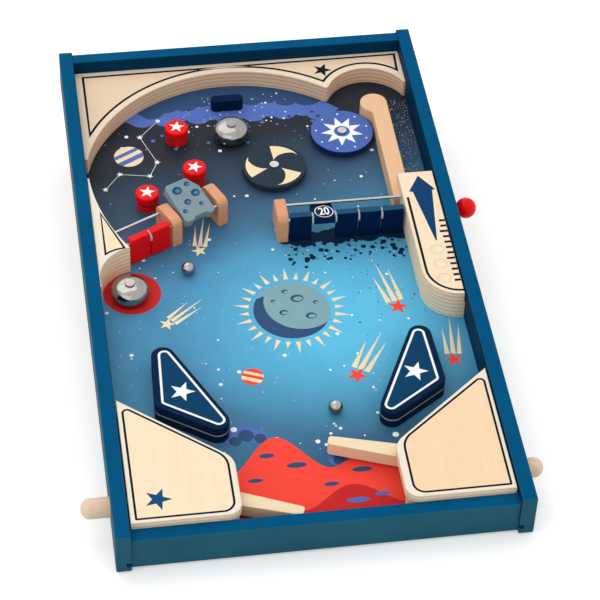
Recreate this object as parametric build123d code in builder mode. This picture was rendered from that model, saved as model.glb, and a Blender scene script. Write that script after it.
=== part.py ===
"""Tabletop pinball game in painted and plain wood.

Millimetres. Z is up, the player stands at minus Y, and the origin lies on the table
under the middle of the game. The whole case leans on its rear legs, so everything is
drawn on the playfield's own plane: X to the right, Y up the slope, and height above
the printed board. Pieces near a rail are placed from that rail's inner face: an inset is
measured in from a side rail, a drop down from the back rail and a rise up from the front.
"""
import os
from math import asin, atan2, cos, degrees, hypot, radians, sin, tan

from build123d import *

os.makedirs("parts", exist_ok=True)

# Case
case_width = 320
case_length = 560
case_tilt = 6
rail_thickness = 12
side_rail_height = 40
playfield_drop = 30
board_thickness = 5
groove_depth = 4
end_rail_setback = 3
front_rail_top = 22
back_rail_top = 29.2
end_rail_bottom = -9.5
rail_round = 1.2
front_edge_clearance = 1

# Plywood layers that stand on the board
low_deck_height = 17
high_deck_height = 28
deck_round = 0.8

# Top arch and the lane's own arch
arch_x = -12.4
arch_back_wall = 12.7
arch_overrun = 1.7
lane_arch_inset = 36.4
lane_arch_drop = 58
lane_arch_radius = 37.5
lane_mouth = 30
arch_tip_drop = 115
lane_tip_drop = 43
cusp_round = 3

# Left side deck
side_deck_back_y = 114
side_deck_tip_inset = 28.2
side_deck_tip_y = 26.4
side_deck_front_y = -16
side_deck_curve_inset = 8.5
side_deck_bulge_y = 72.2
side_deck_hollow_y = 14.5
side_deck_nose = 1.5

# Launch lane
divider_width = 15
divider_inset = 21.7
divider_head_drop = 68
divider_head_radius = 12
divider_neck_round = 6
start_inset = 31.5
start_gap = 1
start_front_y = -57.7
start_back_y = 91
start_corner_round = 30.5
channel_front_y = -45
dimple_radius = 5
dimple_depth = 1
dimple_pitch = 17
dimple_inset = 14.6
first_dimple_y = -4.7
dimple_count = 3

# Launcher
knob_radius = 9
knob_y = 60
launcher_height = 10
stem_radius = 4
slot_clearance = 0.2
knob_gap = 3
launcher_travel = 66
striker_length = 16
striker_side_gap = 0.6
spring_radius = 6
spring_wire_radius = 0.6
spring_turns = 12
spring_drop = 1.5

# Flippers and their push rods
flipper_deck_thickness = 8
deck_rail_gap = 1
deck_inner_x = 62.3
deck_inner_rise = 55.2
deck_outer_rise = 124.3
deck_inner_round = 18
deck_front_round = 11
base_inset = 2
pivot_inset = 37
pivot_rise = 43
pivot_radius = 2.5
pivot_fit = 0.05
pivot_shoulder_radius = 4
pivot_seat = 4
flipper_tip_gap = 8.5
flipper_root_half = 8.6
flipper_tip_half = 4.2
flipper_tip_round = 2.5
flipper_bottom = 3.5
flipper_headroom = 4.5
heel_thickness = 6
heel_length = 16
heel_boss_radius = 7
flipper_up = 18
half_turn = 180
flipper_down = 20.8
crank_radius = 10.5
crank_pin_radius = 2
crank_pin_gap = 1
crank_arm_half = 4.5
push_rod_wall = 2
push_rod_fit = 0.1
push_rod_reach = 15.5
push_rod_flat = 0.6
tongue_gap = 0.5
tongue_length = 22.5
tongue_end = 5
tongue_back_offset = 5
pin_slot_clearance = 0.15
pin_slot_length = 6.5
running_gap = 0.2

# The pocket under each front deck, cut to the flipper's swing
pocket_mouth_gap = 12.3
pocket_far_gap = 18
pocket_front_rise = 13.5
pocket_boss_gap_x = 9
pocket_boss_gap_y = 12
pocket_mouth_back = 28

# Slingshots: the inset, rise and radius of each round corner
slingshot_back_corner = (43.5, 177, 9.5)
slingshot_side_corner = (39.7, 128, 8)
slingshot_front_corner = (78.5, 103.8, 9.5)
slingshot_height = 17
band_groove_bottom = 7.2
band_groove_width = 2
band_groove_depth = 1.5
band_clearance = 0.2

# Bumpers
upper_bumper_x = -63.9
upper_bumper_drop = 79.5
middle_bumper_x = -54
middle_bumper_y = 132
lower_bumper_inset = 50.2
lower_bumper_y = 104.8
bumper_radius = 10.3
bumper_foot_radius = 9.6
bumper_neck_radius = 8.2
bumper_foot_height = 5
bumper_neck_height = 3.6
bumper_head_height = 6.8
bumper_round = 1.6

# Bells
upper_bell_x = -15.5
upper_bell_drop = 82.5
lower_bell_inset = 25
lower_bell_y = -4
bell_radius = 15.5
bell_neck_radius = 14.6
bell_crown_radius = 10.6
bell_bottom = 3.5
bell_height = 13
bell_wall = 1.1
bell_shoulder_radius = 3.5
bell_screw_radius = 1.6
bell_head_radius = 4.4
bell_head_height = 1.6
bell_head_round = 0.5

# Spinning discs
left_disc_x = 16.2
left_disc_drop = 131
right_disc_inset = 66
right_disc_drop = 93.5
disc_radius = 28
disc_bottom = 3
disc_thickness = 5
disc_round = 0.8
disc_pin_radius = 3
disc_pin_fit = 0.05
disc_spacer_radius = 6
disc_pin_head_radius = 4
disc_pin_head_height = 1.4

# Stop block at the top
stop_block_x = -14.5
stop_block_drop = 42
stop_block_length = 29
stop_block_depth = 9
stop_block_height = 12

# Target rows
target_count = 5
target_thickness = 6.6
target_bottom = 1
target_round = 0.8
axle_drop = 5.5
axle_radius = 1.25
axle_fit = 0.05
axle_setback = 3.3
washer_thickness = 1.5
washer_radius = 5
side_clearance = 0.05
stop_rod_setback = 21.5
stop_gap = 0.3
post_thickness = 9.6
post_depth = 28
post_top_round = 6.5
post_round = 1
rod_seat = 6
target_width = 18.14
navy_front_y = 46
tipped_target = 2
red_row_inset = 30.8
red_row_y = 33.3
red_row_turn = 26
red_target_count = 2
red_row_end = 40
gate_gap = 36.1
red_axle_lead = 10
red_stop_lead = 12

# Swinging gate target, a rocky lump that is narrower at the back
gate_thickness = 9.6
gate_left = 16.2
gate_right = 13.4
gate_length = 33
gate_front = 5
gate_notch = 2.2
gate_left_lobe = 5.5
gate_right_lobe = 4
gate_shoulder = 21
gate_back_right = 5
gate_round = 2.4

# Balls, legs, pads and screws
ball_radius = 6
first_ball_x = -72.3
first_ball_y = 18
second_ball_x = 26.4
second_ball_rise = 115.8
ball_gap = 0.2
leg_width = 24
leg_depth = 30
leg_round = 4
pad_thickness = 2
rear_pad_radius = 9
front_pad_radius = 5
front_pad_inset = 12
screw_radius = 1.5
screw_head_radius = 3
screw_head_height = 1.6
screw_reach = 8
screw_recess_clearance = 0.1
same_place = 0.1
edge_screw = 8
deck_screw_x = 60
deck_screw_rise = 70
deck_outer_screw = 24
post_screw_setback = 14

# The case's inner faces and the board between them
rail_bottom = playfield_drop - side_rail_height
inner_x = case_width / 2 - rail_thickness
outer_x = case_width / 2
rail_middle_x = outer_x - rail_thickness / 2
end_y = case_length / 2
front_face_y = -(end_y - end_rail_setback)
front_inner_y = front_face_y + rail_thickness
back_inner_y = -front_inner_y
board_half_width = inner_x + groove_depth
board_half_length = back_inner_y + groove_depth

# Places at the top of the board
arch_radius = inner_x + arch_x + arch_overrun
arch_y = back_inner_y - arch_back_wall - arch_radius
arch_tip_y = back_inner_y - arch_tip_drop
lane_arch_x = inner_x - lane_arch_inset
lane_arch_y = back_inner_y - lane_arch_drop
lane_tip_y = back_inner_y - lane_tip_drop
side_deck_tip_x = side_deck_tip_inset - inner_x
side_deck_curve_x = side_deck_curve_inset - inner_x
bumper_places = (
    (upper_bumper_x, back_inner_y - upper_bumper_drop),
    (middle_bumper_x, middle_bumper_y),
    (lower_bumper_inset - inner_x, lower_bumper_y),
)
upper_bell_place = (upper_bell_x, back_inner_y - upper_bell_drop)
lower_bell_place = (lower_bell_inset - inner_x, lower_bell_y)
left_disc_place = (left_disc_x, back_inner_y - left_disc_drop)
right_disc_place = (inner_x - right_disc_inset, back_inner_y - right_disc_drop)
stop_block_place = (stop_block_x, back_inner_y - stop_block_drop)

# Places along the launch lane
divider_right = inner_x - divider_inset
divider_left = divider_right - divider_width
divider_middle_x = (divider_left + divider_right) / 2
divider_head_x = divider_right - divider_head_radius
divider_head_y = back_inner_y - divider_head_drop
start_left = inner_x - start_inset
start_right = inner_x - start_gap
dimple_x = inner_x - dimple_inset
knob_x = outer_x + knob_gap + knob_radius

# Target rows: how far a target swings back, and the start body that clears it
axle_height = high_deck_height - axle_drop
target_height = high_deck_height - target_bottom
target_reach = hypot(axle_height - target_bottom, target_thickness / 2)
start_body_back_y = navy_front_y + axle_setback + target_reach + stop_gap
stop_distance = stop_rod_setback - axle_setback
tip_angle = 90 - degrees(asin((target_thickness / 2 + axle_radius + stop_gap) / stop_distance))
gate_rest = degrees(asin((gate_thickness / 2 + axle_radius + stop_gap) / stop_distance))
target_pitch = target_width + washer_thickness + 2 * side_clearance
row_gap = target_count * target_pitch + washer_thickness
navy_post_right = start_left - row_gap
red_row_place = (red_row_inset - inner_x, red_row_y)
red_target_start = red_row_end - washer_thickness - red_target_count * target_pitch

# Flippers, push rods and the decks over them
pivot_x = inner_x - pivot_inset
pivot_y = front_inner_y + pivot_rise
deck_inner_y = front_inner_y + deck_inner_rise
deck_outer_y = front_inner_y + deck_outer_rise
flipper_deck_bottom = high_deck_height - flipper_deck_thickness
flipper_length = pivot_x - flipper_tip_gap
flipper_top = flipper_deck_bottom - flipper_headroom
heel_bottom = flipper_top - heel_thickness
push_rod_travel = 2 * crank_radius * sin(radians((flipper_up + flipper_down) / 2))
push_rod_y = pivot_y - crank_radius
push_rod_height = flipper_deck_bottom / 2
push_rod_radius = push_rod_height - push_rod_wall
left_rod_reach = push_rod_reach + push_rod_travel
tongue_top = heel_bottom - tongue_gap
tongue_back_y = pivot_y - tongue_back_offset
pocket_mouth_x = deck_inner_x - pocket_mouth_gap
pocket_far_x = pivot_x + pocket_far_gap
pocket_front_y = front_inner_y + pocket_front_rise
pocket_boss_x = pivot_x - pocket_boss_gap_x
pocket_boss_y = pivot_y + pocket_boss_gap_y
pocket_mouth_y = pivot_y + pocket_mouth_back
slingshot_corners = [
    (inner_x - inset, front_inner_y + rise, radius)
    for inset, rise, radius in (slingshot_back_corner, slingshot_side_corner, slingshot_front_corner)
]
ball_places = ((first_ball_x, first_ball_y), (second_ball_x, front_inner_y + second_ball_rise))

# The playfield's plane, leaning on the rear legs and centred over the origin
tilt = radians(case_tilt)
right_reach = knob_x + knob_radius
left_reach = outer_x + left_rod_reach
board_origin = (
    (left_reach - right_reach) / 2,
    (playfield_drop + rail_bottom) / 2 * sin(tilt),
    front_edge_clearance + end_y * sin(tilt) - rail_bottom * cos(tilt),
)
board = Plane(origin=board_origin, x_dir=(1, 0, 0), z_dir=(0, -sin(tilt), cos(tilt)))
up = Axis(board.origin, board.z_dir)


def level(height):
    """A plane parallel to the playfield, at a height above its printed face."""
    return board.offset(height)


def on_board(x, y, height):
    """The point in space over a place on the playfield."""
    return board.from_local_coords(Vector(x, y, height))


def across(x, y, height):
    """A plane that faces along X, with the slope as its own X and height as its Y."""
    return Plane(origin=on_board(x, y, height), x_dir=board.y_dir, z_dir=board.x_dir)


def turned(plane, about_x, about_z):
    """The plane turned in place about its own X, then about its own Z, in degrees."""
    return Plane(plane.location * Rot(about_x, 0, about_z))


def row_plane(place, turn):
    """The frame of a target row: X along the row, Y away from the player."""
    flat = Plane(origin=on_board(*place, 0), x_dir=board.x_dir, z_dir=board.z_dir)
    return turned(flat, 0, turn)


def row_section(row, along, setback, height):
    """A plane square to a row, with the setback as its X and height as its Y."""
    centre = row.from_local_coords(Vector(along, setback, height))
    return Plane(origin=centre, x_dir=row.y_dir, z_dir=row.x_dir)


navy_row = row_plane((navy_post_right, navy_front_y), 0)
red_row = row_plane(red_row_place, red_row_turn)

# Where screws come up through the board into what stands on it
deck_screws = (
    (edge_screw - inner_x, arch_y + deck_screw_rise),
    (lane_mouth - inner_x, back_inner_y - lane_mouth),
    (-deck_screw_x, back_inner_y - edge_screw),
    (deck_screw_x / 2, back_inner_y - edge_screw),
    (lane_arch_x, back_inner_y - edge_screw),
    (inner_x - edge_screw, back_inner_y - edge_screw),
)
side_deck_screws = (
    (side_deck_curve_x - screw_head_radius, side_deck_bulge_y),
    (side_deck_curve_x + screw_head_radius, side_deck_tip_y + edge_screw),
)
divider_screws = (
    (divider_head_x, divider_head_y),
    (divider_middle_x, (divider_head_y + start_body_back_y) / 2),
    (divider_middle_x, start_body_back_y + edge_screw),
)
start_wall_x = (start_left + divider_right) / 2
start_screws = (
    (start_wall_x, navy_front_y - edge_screw),
    (start_wall_x, channel_front_y + start_corner_round),
    (dimple_x, channel_front_y - screw_head_radius - start_gap),
)
base_screws = (
    (pocket_far_x + edge_screw, deck_outer_y - deck_outer_screw),
    (pocket_far_x, deck_outer_y - deck_outer_screw - edge_screw),
    (pocket_far_x + edge_screw, front_inner_y + edge_screw),
    (deck_inner_x + 2 * edge_screw, front_inner_y + edge_screw),
)
slingshot_screws = [(x, y) for x, y, radius in slingshot_corners]
stop_block_screws = [(stop_block_x + offset, stop_block_place[1]) for offset in (-edge_screw, edge_screw)]
post_inset = post_thickness / 2


def mirrored(points, side):
    return [(side * x, y) for x, y in points]


def post_screw(row, along):
    """A post's screw, as a place on the board."""
    point = board.to_local_coords(row.from_local_coords(Vector(along, post_screw_setback, 0)))
    return (point.X, point.Y)


post_screws = (
    post_screw(navy_row, -post_inset),
    post_screw(red_row, red_row_end + post_inset),
    post_screw(red_row, red_row_end + post_thickness + gate_gap + post_inset),
)
all_screws = [*deck_screws, *side_deck_screws, *divider_screws, *start_screws]
all_screws += [*stop_block_screws, *bumper_places, *post_screws]
for side in (-1, 1):
    all_screws += [*mirrored(base_screws, side), *mirrored(slingshot_screws, side)]


def pilot_holes(points):
    """Screw holes up from the board into the piece being built."""
    with BuildSketch(level(0)) as holes:
        with Locations(*points):
            Circle(screw_radius)
    extrude(holes.sketch, amount=screw_reach, mode=Mode.SUBTRACT)


def bore(plane, radius, depth, both=False):
    """A round hole from a plane, along its normal."""
    with BuildSketch(plane) as hole:
        Circle(radius)
    extrude(hole.sketch, amount=depth, both=both, mode=Mode.SUBTRACT)


def top_edges(piece):
    """The edges round the face that is highest above the board."""
    return piece.faces().sort_by(up)[-1].edges()


def finish(part, name):
    """Name a piece and write it."""
    part.label = name
    export_step(part, f"parts/{name}.step")


def build_side_rail(side, name):
    """A long rail with rounded edges and the groove that the board slides in."""
    with BuildPart() as rail:
        with BuildSketch(level(rail_bottom)):
            with Locations((side * rail_middle_x, 0)):
                Rectangle(rail_thickness, case_length)
        extrude(amount=side_rail_height)
        fillet(rail.edges(), rail_round)
        with BuildSketch(level(-board_thickness)):
            with Locations((side * (inner_x + groove_depth / 2), 0)):
                Rectangle(groove_depth, case_length)
        extrude(amount=board_thickness, mode=Mode.SUBTRACT)
        bore(
            across(side * rail_middle_x, push_rod_y, push_rod_height),
            push_rod_radius + push_rod_fit,
            rail_thickness,
            both=True,
        )
        if side > 0:
            with BuildSketch(across(rail_middle_x, knob_y - launcher_travel / 2, launcher_height)):
                SlotCenterToCenter(launcher_travel, 2 * (stem_radius + slot_clearance))
            extrude(amount=rail_thickness, both=True, mode=Mode.SUBTRACT)
    finish(rail.part, name)


def build_end_rail(face_y, top, name):
    """The front or back rail, set between the side rails."""
    inward = -1 if face_y > 0 else 1
    with BuildPart() as rail:
        with BuildSketch(level(end_rail_bottom)):
            with Locations((0, face_y + inward * rail_thickness / 2)):
                Rectangle(2 * inner_x, rail_thickness)
        extrude(amount=top - end_rail_bottom)
        fillet(rail.edges().filter_by(Axis.X), rail_round)
        groove_y = face_y + inward * (rail_thickness - groove_depth / 2)
        with BuildSketch(level(-board_thickness)):
            with Locations((0, groove_y)):
                Rectangle(2 * inner_x, groove_depth)
        extrude(amount=board_thickness, mode=Mode.SUBTRACT)
    finish(rail.part, name)


def build_board():
    """The printed board, with its screw recesses and the holes for the pins."""
    pin_points = [left_disc_place, right_disc_place]
    pivots = [(-pivot_x, pivot_y), (pivot_x, pivot_y)]
    with BuildPart() as board_panel:
        with BuildSketch(level(-board_thickness)):
            Rectangle(2 * board_half_width, 2 * board_half_length)
            with Locations(*all_screws):
                Circle(screw_radius, mode=Mode.SUBTRACT)
            with Locations(*pin_points):
                Circle(disc_pin_radius, mode=Mode.SUBTRACT)
            with Locations(*pivots):
                Circle(pivot_radius, mode=Mode.SUBTRACT)
            with Locations(upper_bell_place, lower_bell_place):
                Circle(bell_screw_radius, mode=Mode.SUBTRACT)
        extrude(amount=board_thickness)
        with BuildSketch(level(-board_thickness)):
            with Locations(*all_screws):
                Circle(screw_head_radius + screw_recess_clearance)
        extrude(amount=screw_head_height, mode=Mode.SUBTRACT)
    finish(board_panel.part, "playfield_board")


def on_both_arches(corner):
    """Whether a corner is the one where the two arches meet."""
    from_arch = hypot(corner.X - arch_x, corner.Y - arch_y) - arch_radius
    from_lane_arch = hypot(corner.X - lane_arch_x, corner.Y - lane_arch_y) - lane_arch_radius
    return max(abs(from_arch), abs(from_lane_arch)) < same_place


def build_back_deck():
    """The low plywood deck across the top, cut away by the two arches."""
    with BuildPart() as deck:
        with BuildSketch(level(0)) as outline:
            with Locations((0, (arch_tip_y + back_inner_y) / 2)):
                Rectangle(2 * inner_x, back_inner_y - arch_tip_y)
            with Locations((arch_x, arch_y)):
                Circle(arch_radius, mode=Mode.SUBTRACT)
            with Locations((lane_arch_x, lane_arch_y)):
                Circle(lane_arch_radius, mode=Mode.SUBTRACT)
            with Locations((lane_arch_x - lane_mouth, arch_tip_y)):
                Rectangle(
                    inner_x - lane_arch_x + lane_mouth,
                    lane_arch_y - arch_tip_y,
                    align=(Align.MIN, Align.MIN),
                    mode=Mode.SUBTRACT,
                )
            with Locations((lane_arch_x, arch_tip_y)):
                Rectangle(
                    inner_x - lane_arch_x,
                    lane_tip_y - arch_tip_y,
                    align=(Align.MIN, Align.MIN),
                    mode=Mode.SUBTRACT,
                )
            cusp = outline.vertices().filter_by(on_both_arches)
            fillet(cusp, cusp_round)
        extrude(amount=low_deck_height)
        fillet(top_edges(deck), deck_round)
        pilot_holes(deck_screws)
    finish(deck.part, "back_deck")


def build_side_deck():
    """The tall wedge on the left, hollowed round the lower bell."""
    with BuildPart() as deck:
        with BuildSketch(level(0)):
            with BuildLine():
                Polyline(
                    (-inner_x, side_deck_front_y),
                    (-inner_x, side_deck_back_y),
                    (-inner_x + side_deck_nose, side_deck_back_y),
                )
                ThreePointArc(
                    (-inner_x + side_deck_nose, side_deck_back_y),
                    (side_deck_curve_x, side_deck_bulge_y),
                    (side_deck_tip_x, side_deck_tip_y),
                )
                ThreePointArc(
                    (side_deck_tip_x, side_deck_tip_y),
                    (side_deck_curve_x, side_deck_hollow_y),
                    (-inner_x + side_deck_nose, side_deck_front_y),
                )
                Line((-inner_x + side_deck_nose, side_deck_front_y), (-inner_x, side_deck_front_y))
            make_face()
        extrude(amount=high_deck_height)
        pilot_holes(side_deck_screws)
        bore(row_section(red_row, 0, axle_setback, axle_height), axle_radius, -red_axle_lead)
        bore(row_section(red_row, 0, stop_rod_setback, axle_height), axle_radius, -red_stop_lead)
    finish(deck.part, "left_side_deck")


def build_divider():
    """The club-shaped wall between the playfield and the launch lane."""
    shaft_length = divider_head_y - start_body_back_y
    with BuildPart() as divider:
        with BuildSketch(level(0)) as outline:
            with Locations((divider_head_x, divider_head_y)):
                Circle(divider_head_radius)
            with Locations((divider_left, start_body_back_y)):
                Rectangle(divider_width, shaft_length, align=(Align.MIN, Align.MIN))
            neck = outline.vertices().filter_by(lambda v: abs(v.X - divider_left) < same_place)
            fillet(neck.sort_by(Axis.Y)[-1], divider_neck_round)
        extrude(amount=low_deck_height)
        fillet(top_edges(divider), deck_round)
        pilot_holes(divider_screws)
    finish(divider.part, "lane_divider")


def start_outline(right):
    """The start piece's outline, with its big round corner at the front."""
    with BuildSketch() as outline:
        with Locations((start_left, start_front_y)):
            Rectangle(
                right - start_left,
                start_back_y - start_front_y,
                align=(Align.MIN, Align.MIN),
            )
        corner = outline.vertices().group_by(Axis.Y)[0].sort_by(Axis.X)[0]
        fillet(corner, start_corner_round - start_gap)
    return outline.sketch


def build_start_body():
    """The low layer under the cover, open at the back for the striker's channel."""
    with BuildPart() as body:
        with BuildSketch(level(0)):
            add(start_outline(inner_x))
            with Locations((start_left, start_body_back_y)):
                Rectangle(
                    inner_x - start_left,
                    start_back_y - start_body_back_y,
                    align=(Align.MIN, Align.MIN),
                    mode=Mode.SUBTRACT,
                )
            with Locations((divider_right, channel_front_y)):
                Rectangle(
                    inner_x - divider_right,
                    start_body_back_y - channel_front_y,
                    align=(Align.MIN, Align.MIN),
                    mode=Mode.SUBTRACT,
                )
        extrude(amount=low_deck_height)
        pilot_holes(start_screws)
    finish(body.part, "start_body")


def build_start_cover():
    """The cover plate with its three ball rests and the seats for the navy row's rods."""
    with BuildPart() as cover:
        with BuildSketch(level(low_deck_height)):
            add(start_outline(start_right))
        extrude(amount=high_deck_height - low_deck_height)
        fillet(top_edges(cover), deck_round)
        rest_sphere = (dimple_radius**2 + dimple_depth**2) / (2 * dimple_depth)
        for index in range(dimple_count):
            rest = level(high_deck_height + rest_sphere - dimple_depth)
            with Locations(rest.location * Pos(dimple_x, first_dimple_y - index * dimple_pitch, 0)):
                Sphere(rest_sphere, mode=Mode.SUBTRACT)
        for setback in (axle_setback, stop_rod_setback):
            bore(row_section(navy_row, row_gap, setback, axle_height), axle_radius, rod_seat)
    finish(cover.part, "start_cover")


def deck_outline(side, inset):
    """A front deck's outline, drawn in by an inset along the sides that show."""
    slope = atan2(deck_outer_y - deck_inner_y, inner_x - deck_rail_gap - deck_inner_x)
    left = deck_inner_x + inset
    outer = inner_x - deck_rail_gap
    drop = inset / cos(slope)
    inner_y = deck_inner_y + inset * tan(slope) - drop
    with BuildSketch() as outline:
        with BuildLine():
            Polyline(
                (side * outer, front_inner_y),
                (side * left, front_inner_y),
                (side * left, inner_y),
                (side * outer, deck_outer_y - drop),
                close=True,
            )
        make_face()
        for index, radius in ((1, deck_inner_round), (0, deck_front_round)):
            corners = outline.vertices().filter_by(lambda v: abs(v.X - side * left) < same_place)
            fillet(corners.sort_by(Axis.Y)[index], radius - inset)
    return outline.sketch


def build_deck_base(side, name):
    """The block that carries a front deck, with its pocket and the push rod's bore."""
    with BuildPart() as base:
        with BuildSketch(level(0)):
            add(deck_outline(side, base_inset))
            with BuildLine():
                Polyline(
                    (side * pocket_mouth_x, pocket_front_y),
                    (side * pocket_far_x, pocket_front_y),
                    (side * pocket_far_x, pocket_boss_y),
                    (side * pocket_boss_x, pocket_boss_y),
                    (side * pocket_mouth_x, pocket_mouth_y),
                    close=True,
                )
            make_face(mode=Mode.SUBTRACT)
        extrude(amount=flipper_deck_bottom)
        bore(
            across(side * pocket_far_x, push_rod_y, push_rod_height),
            push_rod_radius + push_rod_fit,
            inner_x - pocket_far_x,
            both=True,
        )
        pilot_holes(mirrored(base_screws, side))
    finish(base.part, name)


def build_flipper_deck(side, name):
    """A front deck plate, with the seat for the flipper's pivot pin."""
    with BuildPart() as deck:
        with BuildSketch(level(flipper_deck_bottom)):
            add(deck_outline(side, 0))
        extrude(amount=flipper_deck_thickness)
        fillet(top_edges(deck), deck_round)
        with BuildSketch(level(flipper_deck_bottom)):
            with Locations((side * pivot_x, pivot_y)):
                Circle(pivot_radius)
        extrude(amount=pivot_seat, mode=Mode.SUBTRACT)
    finish(deck.part, name)


def flipper_plane(side, height):
    """The flipper's own frame at rest: X along the blade from the pivot."""
    raised = side > 0
    lift = flipper_up if raised else -flipper_down
    turn = half_turn - lift if raised else lift
    origin = on_board(side * pivot_x, pivot_y, height)
    return turned(Plane(origin=origin, x_dir=board.x_dir, z_dir=board.z_dir), 0, turn)


def crank_place(side):
    """The crank pin's place in the flipper's own frame."""
    turn = radians(90 - (flipper_down - flipper_up) / 2)
    return (crank_radius * cos(turn), side * crank_radius * sin(turn))


def blade_outline(start):
    """The flipper's tapered blade with its rounded tip, from a distance out to the end."""
    taper = (flipper_root_half - flipper_tip_half) / flipper_length
    start_half = flipper_root_half - taper * start
    with BuildSketch() as outline:
        with BuildLine():
            Polyline(
                (start, start_half),
                (flipper_length, flipper_tip_half),
                (flipper_length, -flipper_tip_half),
                (start, -start_half),
                close=True,
            )
        make_face()
        fillet(outline.vertices().group_by(Axis.X)[-1], flipper_tip_round)
    return outline.sketch


def build_flipper(side, name):
    """A wooden flipper: a thick blade, a lapped heel and its crank arm."""
    pin_x, pin_y = crank_place(side)
    with BuildPart() as flipper:
        with BuildSketch(flipper_plane(side, heel_bottom)):
            add(blade_outline(0))
            Circle(flipper_root_half)
            with Locations((pin_x, pin_y)):
                Circle(crank_arm_half)
            with Locations((pin_x / 2, pin_y / 2)):
                Rectangle(2 * crank_arm_half, abs(pin_y))
        extrude(amount=heel_thickness)
        with BuildSketch(flipper_plane(side, flipper_bottom)):
            add(blade_outline(heel_length))
        extrude(amount=heel_bottom - flipper_bottom)
        with BuildSketch(flipper_plane(side, flipper_top)):
            Circle(heel_boss_radius)
        extrude(amount=flipper_deck_bottom - running_gap - flipper_top)
        with BuildSketch(flipper_plane(side, heel_bottom)):
            Circle(pivot_radius + pivot_fit)
        extrude(amount=flipper_deck_bottom, mode=Mode.SUBTRACT)
        with BuildSketch(flipper_plane(side, heel_bottom)):
            with Locations((pin_x, pin_y)):
                Circle(crank_pin_radius)
        extrude(amount=heel_thickness, mode=Mode.SUBTRACT)
    finish(flipper.part, name)


def build_crank_pin(side, name):
    """The pin that the push rod's slot moves."""
    pin_bottom = push_rod_height - push_rod_radius + crank_pin_gap
    with BuildPart() as pin:
        with BuildSketch(flipper_plane(side, pin_bottom)):
            with Locations(crank_place(side)):
                Circle(crank_pin_radius)
        extrude(amount=flipper_top - pin_bottom)
    finish(pin.part, name)


def build_push_rod(side, name):
    """A round rod with a domed button end and a slotted tongue for the crank pin."""
    pushed = side > 0
    reach = push_rod_reach if pushed else left_rod_reach
    half_travel = push_rod_travel / 2
    rod_diameter = 2 * push_rod_radius
    pin_x = pivot_x - half_travel if pushed else pivot_x + half_travel
    inner_end = pin_x - tongue_end
    length = outer_x + reach - inner_end
    with BuildPart() as rod:
        with BuildSketch(across(side * inner_end, push_rod_y, push_rod_height)):
            Circle(push_rod_radius)
        extrude(amount=side * length)
        button = rod.faces().sort_by(Axis.X)[-1 if pushed else 0]
        fillet(button.edges(), push_rod_radius - push_rod_flat)
        with BuildSketch(level(tongue_top)):
            with Locations((side * (inner_end + tongue_length / 2), push_rod_y)):
                Rectangle(tongue_length, 2 * rod_diameter)
        extrude(amount=rod_diameter, mode=Mode.SUBTRACT)
        with BuildSketch(level(0)):
            with Locations((side * (inner_end + tongue_length / 2), tongue_back_y)):
                Rectangle(tongue_length, rod_diameter, align=(Align.CENTER, Align.MIN))
            with Locations((side * pin_x, push_rod_y)):
                Rectangle(2 * (crank_pin_radius + pin_slot_clearance), pin_slot_length)
        extrude(amount=flipper_deck_bottom, mode=Mode.SUBTRACT)
    finish(rod.part, name)


def build_pivot_pins():
    """Two steel pins, each with the shoulder that carries a flipper's heel."""
    pivots = [(-pivot_x, pivot_y), (pivot_x, pivot_y)]
    with BuildPart() as pins:
        with BuildSketch(level(-board_thickness)):
            with Locations(*pivots):
                Circle(pivot_radius)
        extrude(amount=board_thickness + flipper_deck_bottom + pivot_seat)
        with BuildSketch(level(0)):
            with Locations(*pivots):
                Circle(pivot_shoulder_radius)
        extrude(amount=heel_bottom - running_gap)
    finish(pins.part, "flipper_pivot_pins")


def build_launcher():
    """The striker, its stem and the ball knob outside the rail."""
    channel_width = inner_x - divider_right
    striker_width = channel_width - 2 * striker_side_gap
    striker_height = low_deck_height - 2 * striker_side_gap
    striker_x = (inner_x + divider_right) / 2
    with BuildPart() as striker:
        with BuildSketch(level(striker_side_gap)):
            with Locations((striker_x, knob_y)):
                RectangleRounded(striker_width, striker_length, deck_round)
        extrude(amount=striker_height)
        bore(across(striker_x, knob_y, launcher_height), stem_radius, channel_width)
    finish(striker.part, "launcher_striker")

    with BuildPart() as stem:
        with BuildSketch(across(striker_x, knob_y, launcher_height)):
            Circle(stem_radius)
        extrude(amount=knob_x - striker_x)
    finish(stem.part, "launcher_stem")

    with BuildPart() as knob:
        with Locations(across(knob_x, knob_y, launcher_height)):
            Sphere(knob_radius)
        with BuildSketch(across(knob_x, knob_y, launcher_height)):
            Circle(stem_radius)
        extrude(amount=-knob_radius, mode=Mode.SUBTRACT)
    finish(knob.part, "launcher_knob")


def build_launcher_spring():
    """The coil between the start body and the striker."""
    front = channel_front_y + spring_wire_radius
    length = knob_y - striker_length / 2 - front - spring_wire_radius
    spring_x = (inner_x + divider_right) / 2
    centre = on_board(spring_x, front, launcher_height - spring_drop)
    with BuildPart() as spring:
        with BuildLine() as coil:
            Helix(length / spring_turns, length, spring_radius, center=centre, direction=board.y_dir)
        with BuildSketch(Plane(origin=coil.line @ 0, z_dir=coil.line % 0)):
            Circle(spring_wire_radius)
        sweep(path=coil.line, is_frenet=True)
    finish(spring.part, "launcher_spring")


def slingshot_outline(side, inset):
    """The slingshot's rounded triangle, drawn in by an inset."""
    with BuildSketch() as outline:
        for x, y, radius in slingshot_corners:
            with Locations((side * x, y)):
                Circle(radius - inset)
        make_hull()
    return outline.sketch


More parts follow.
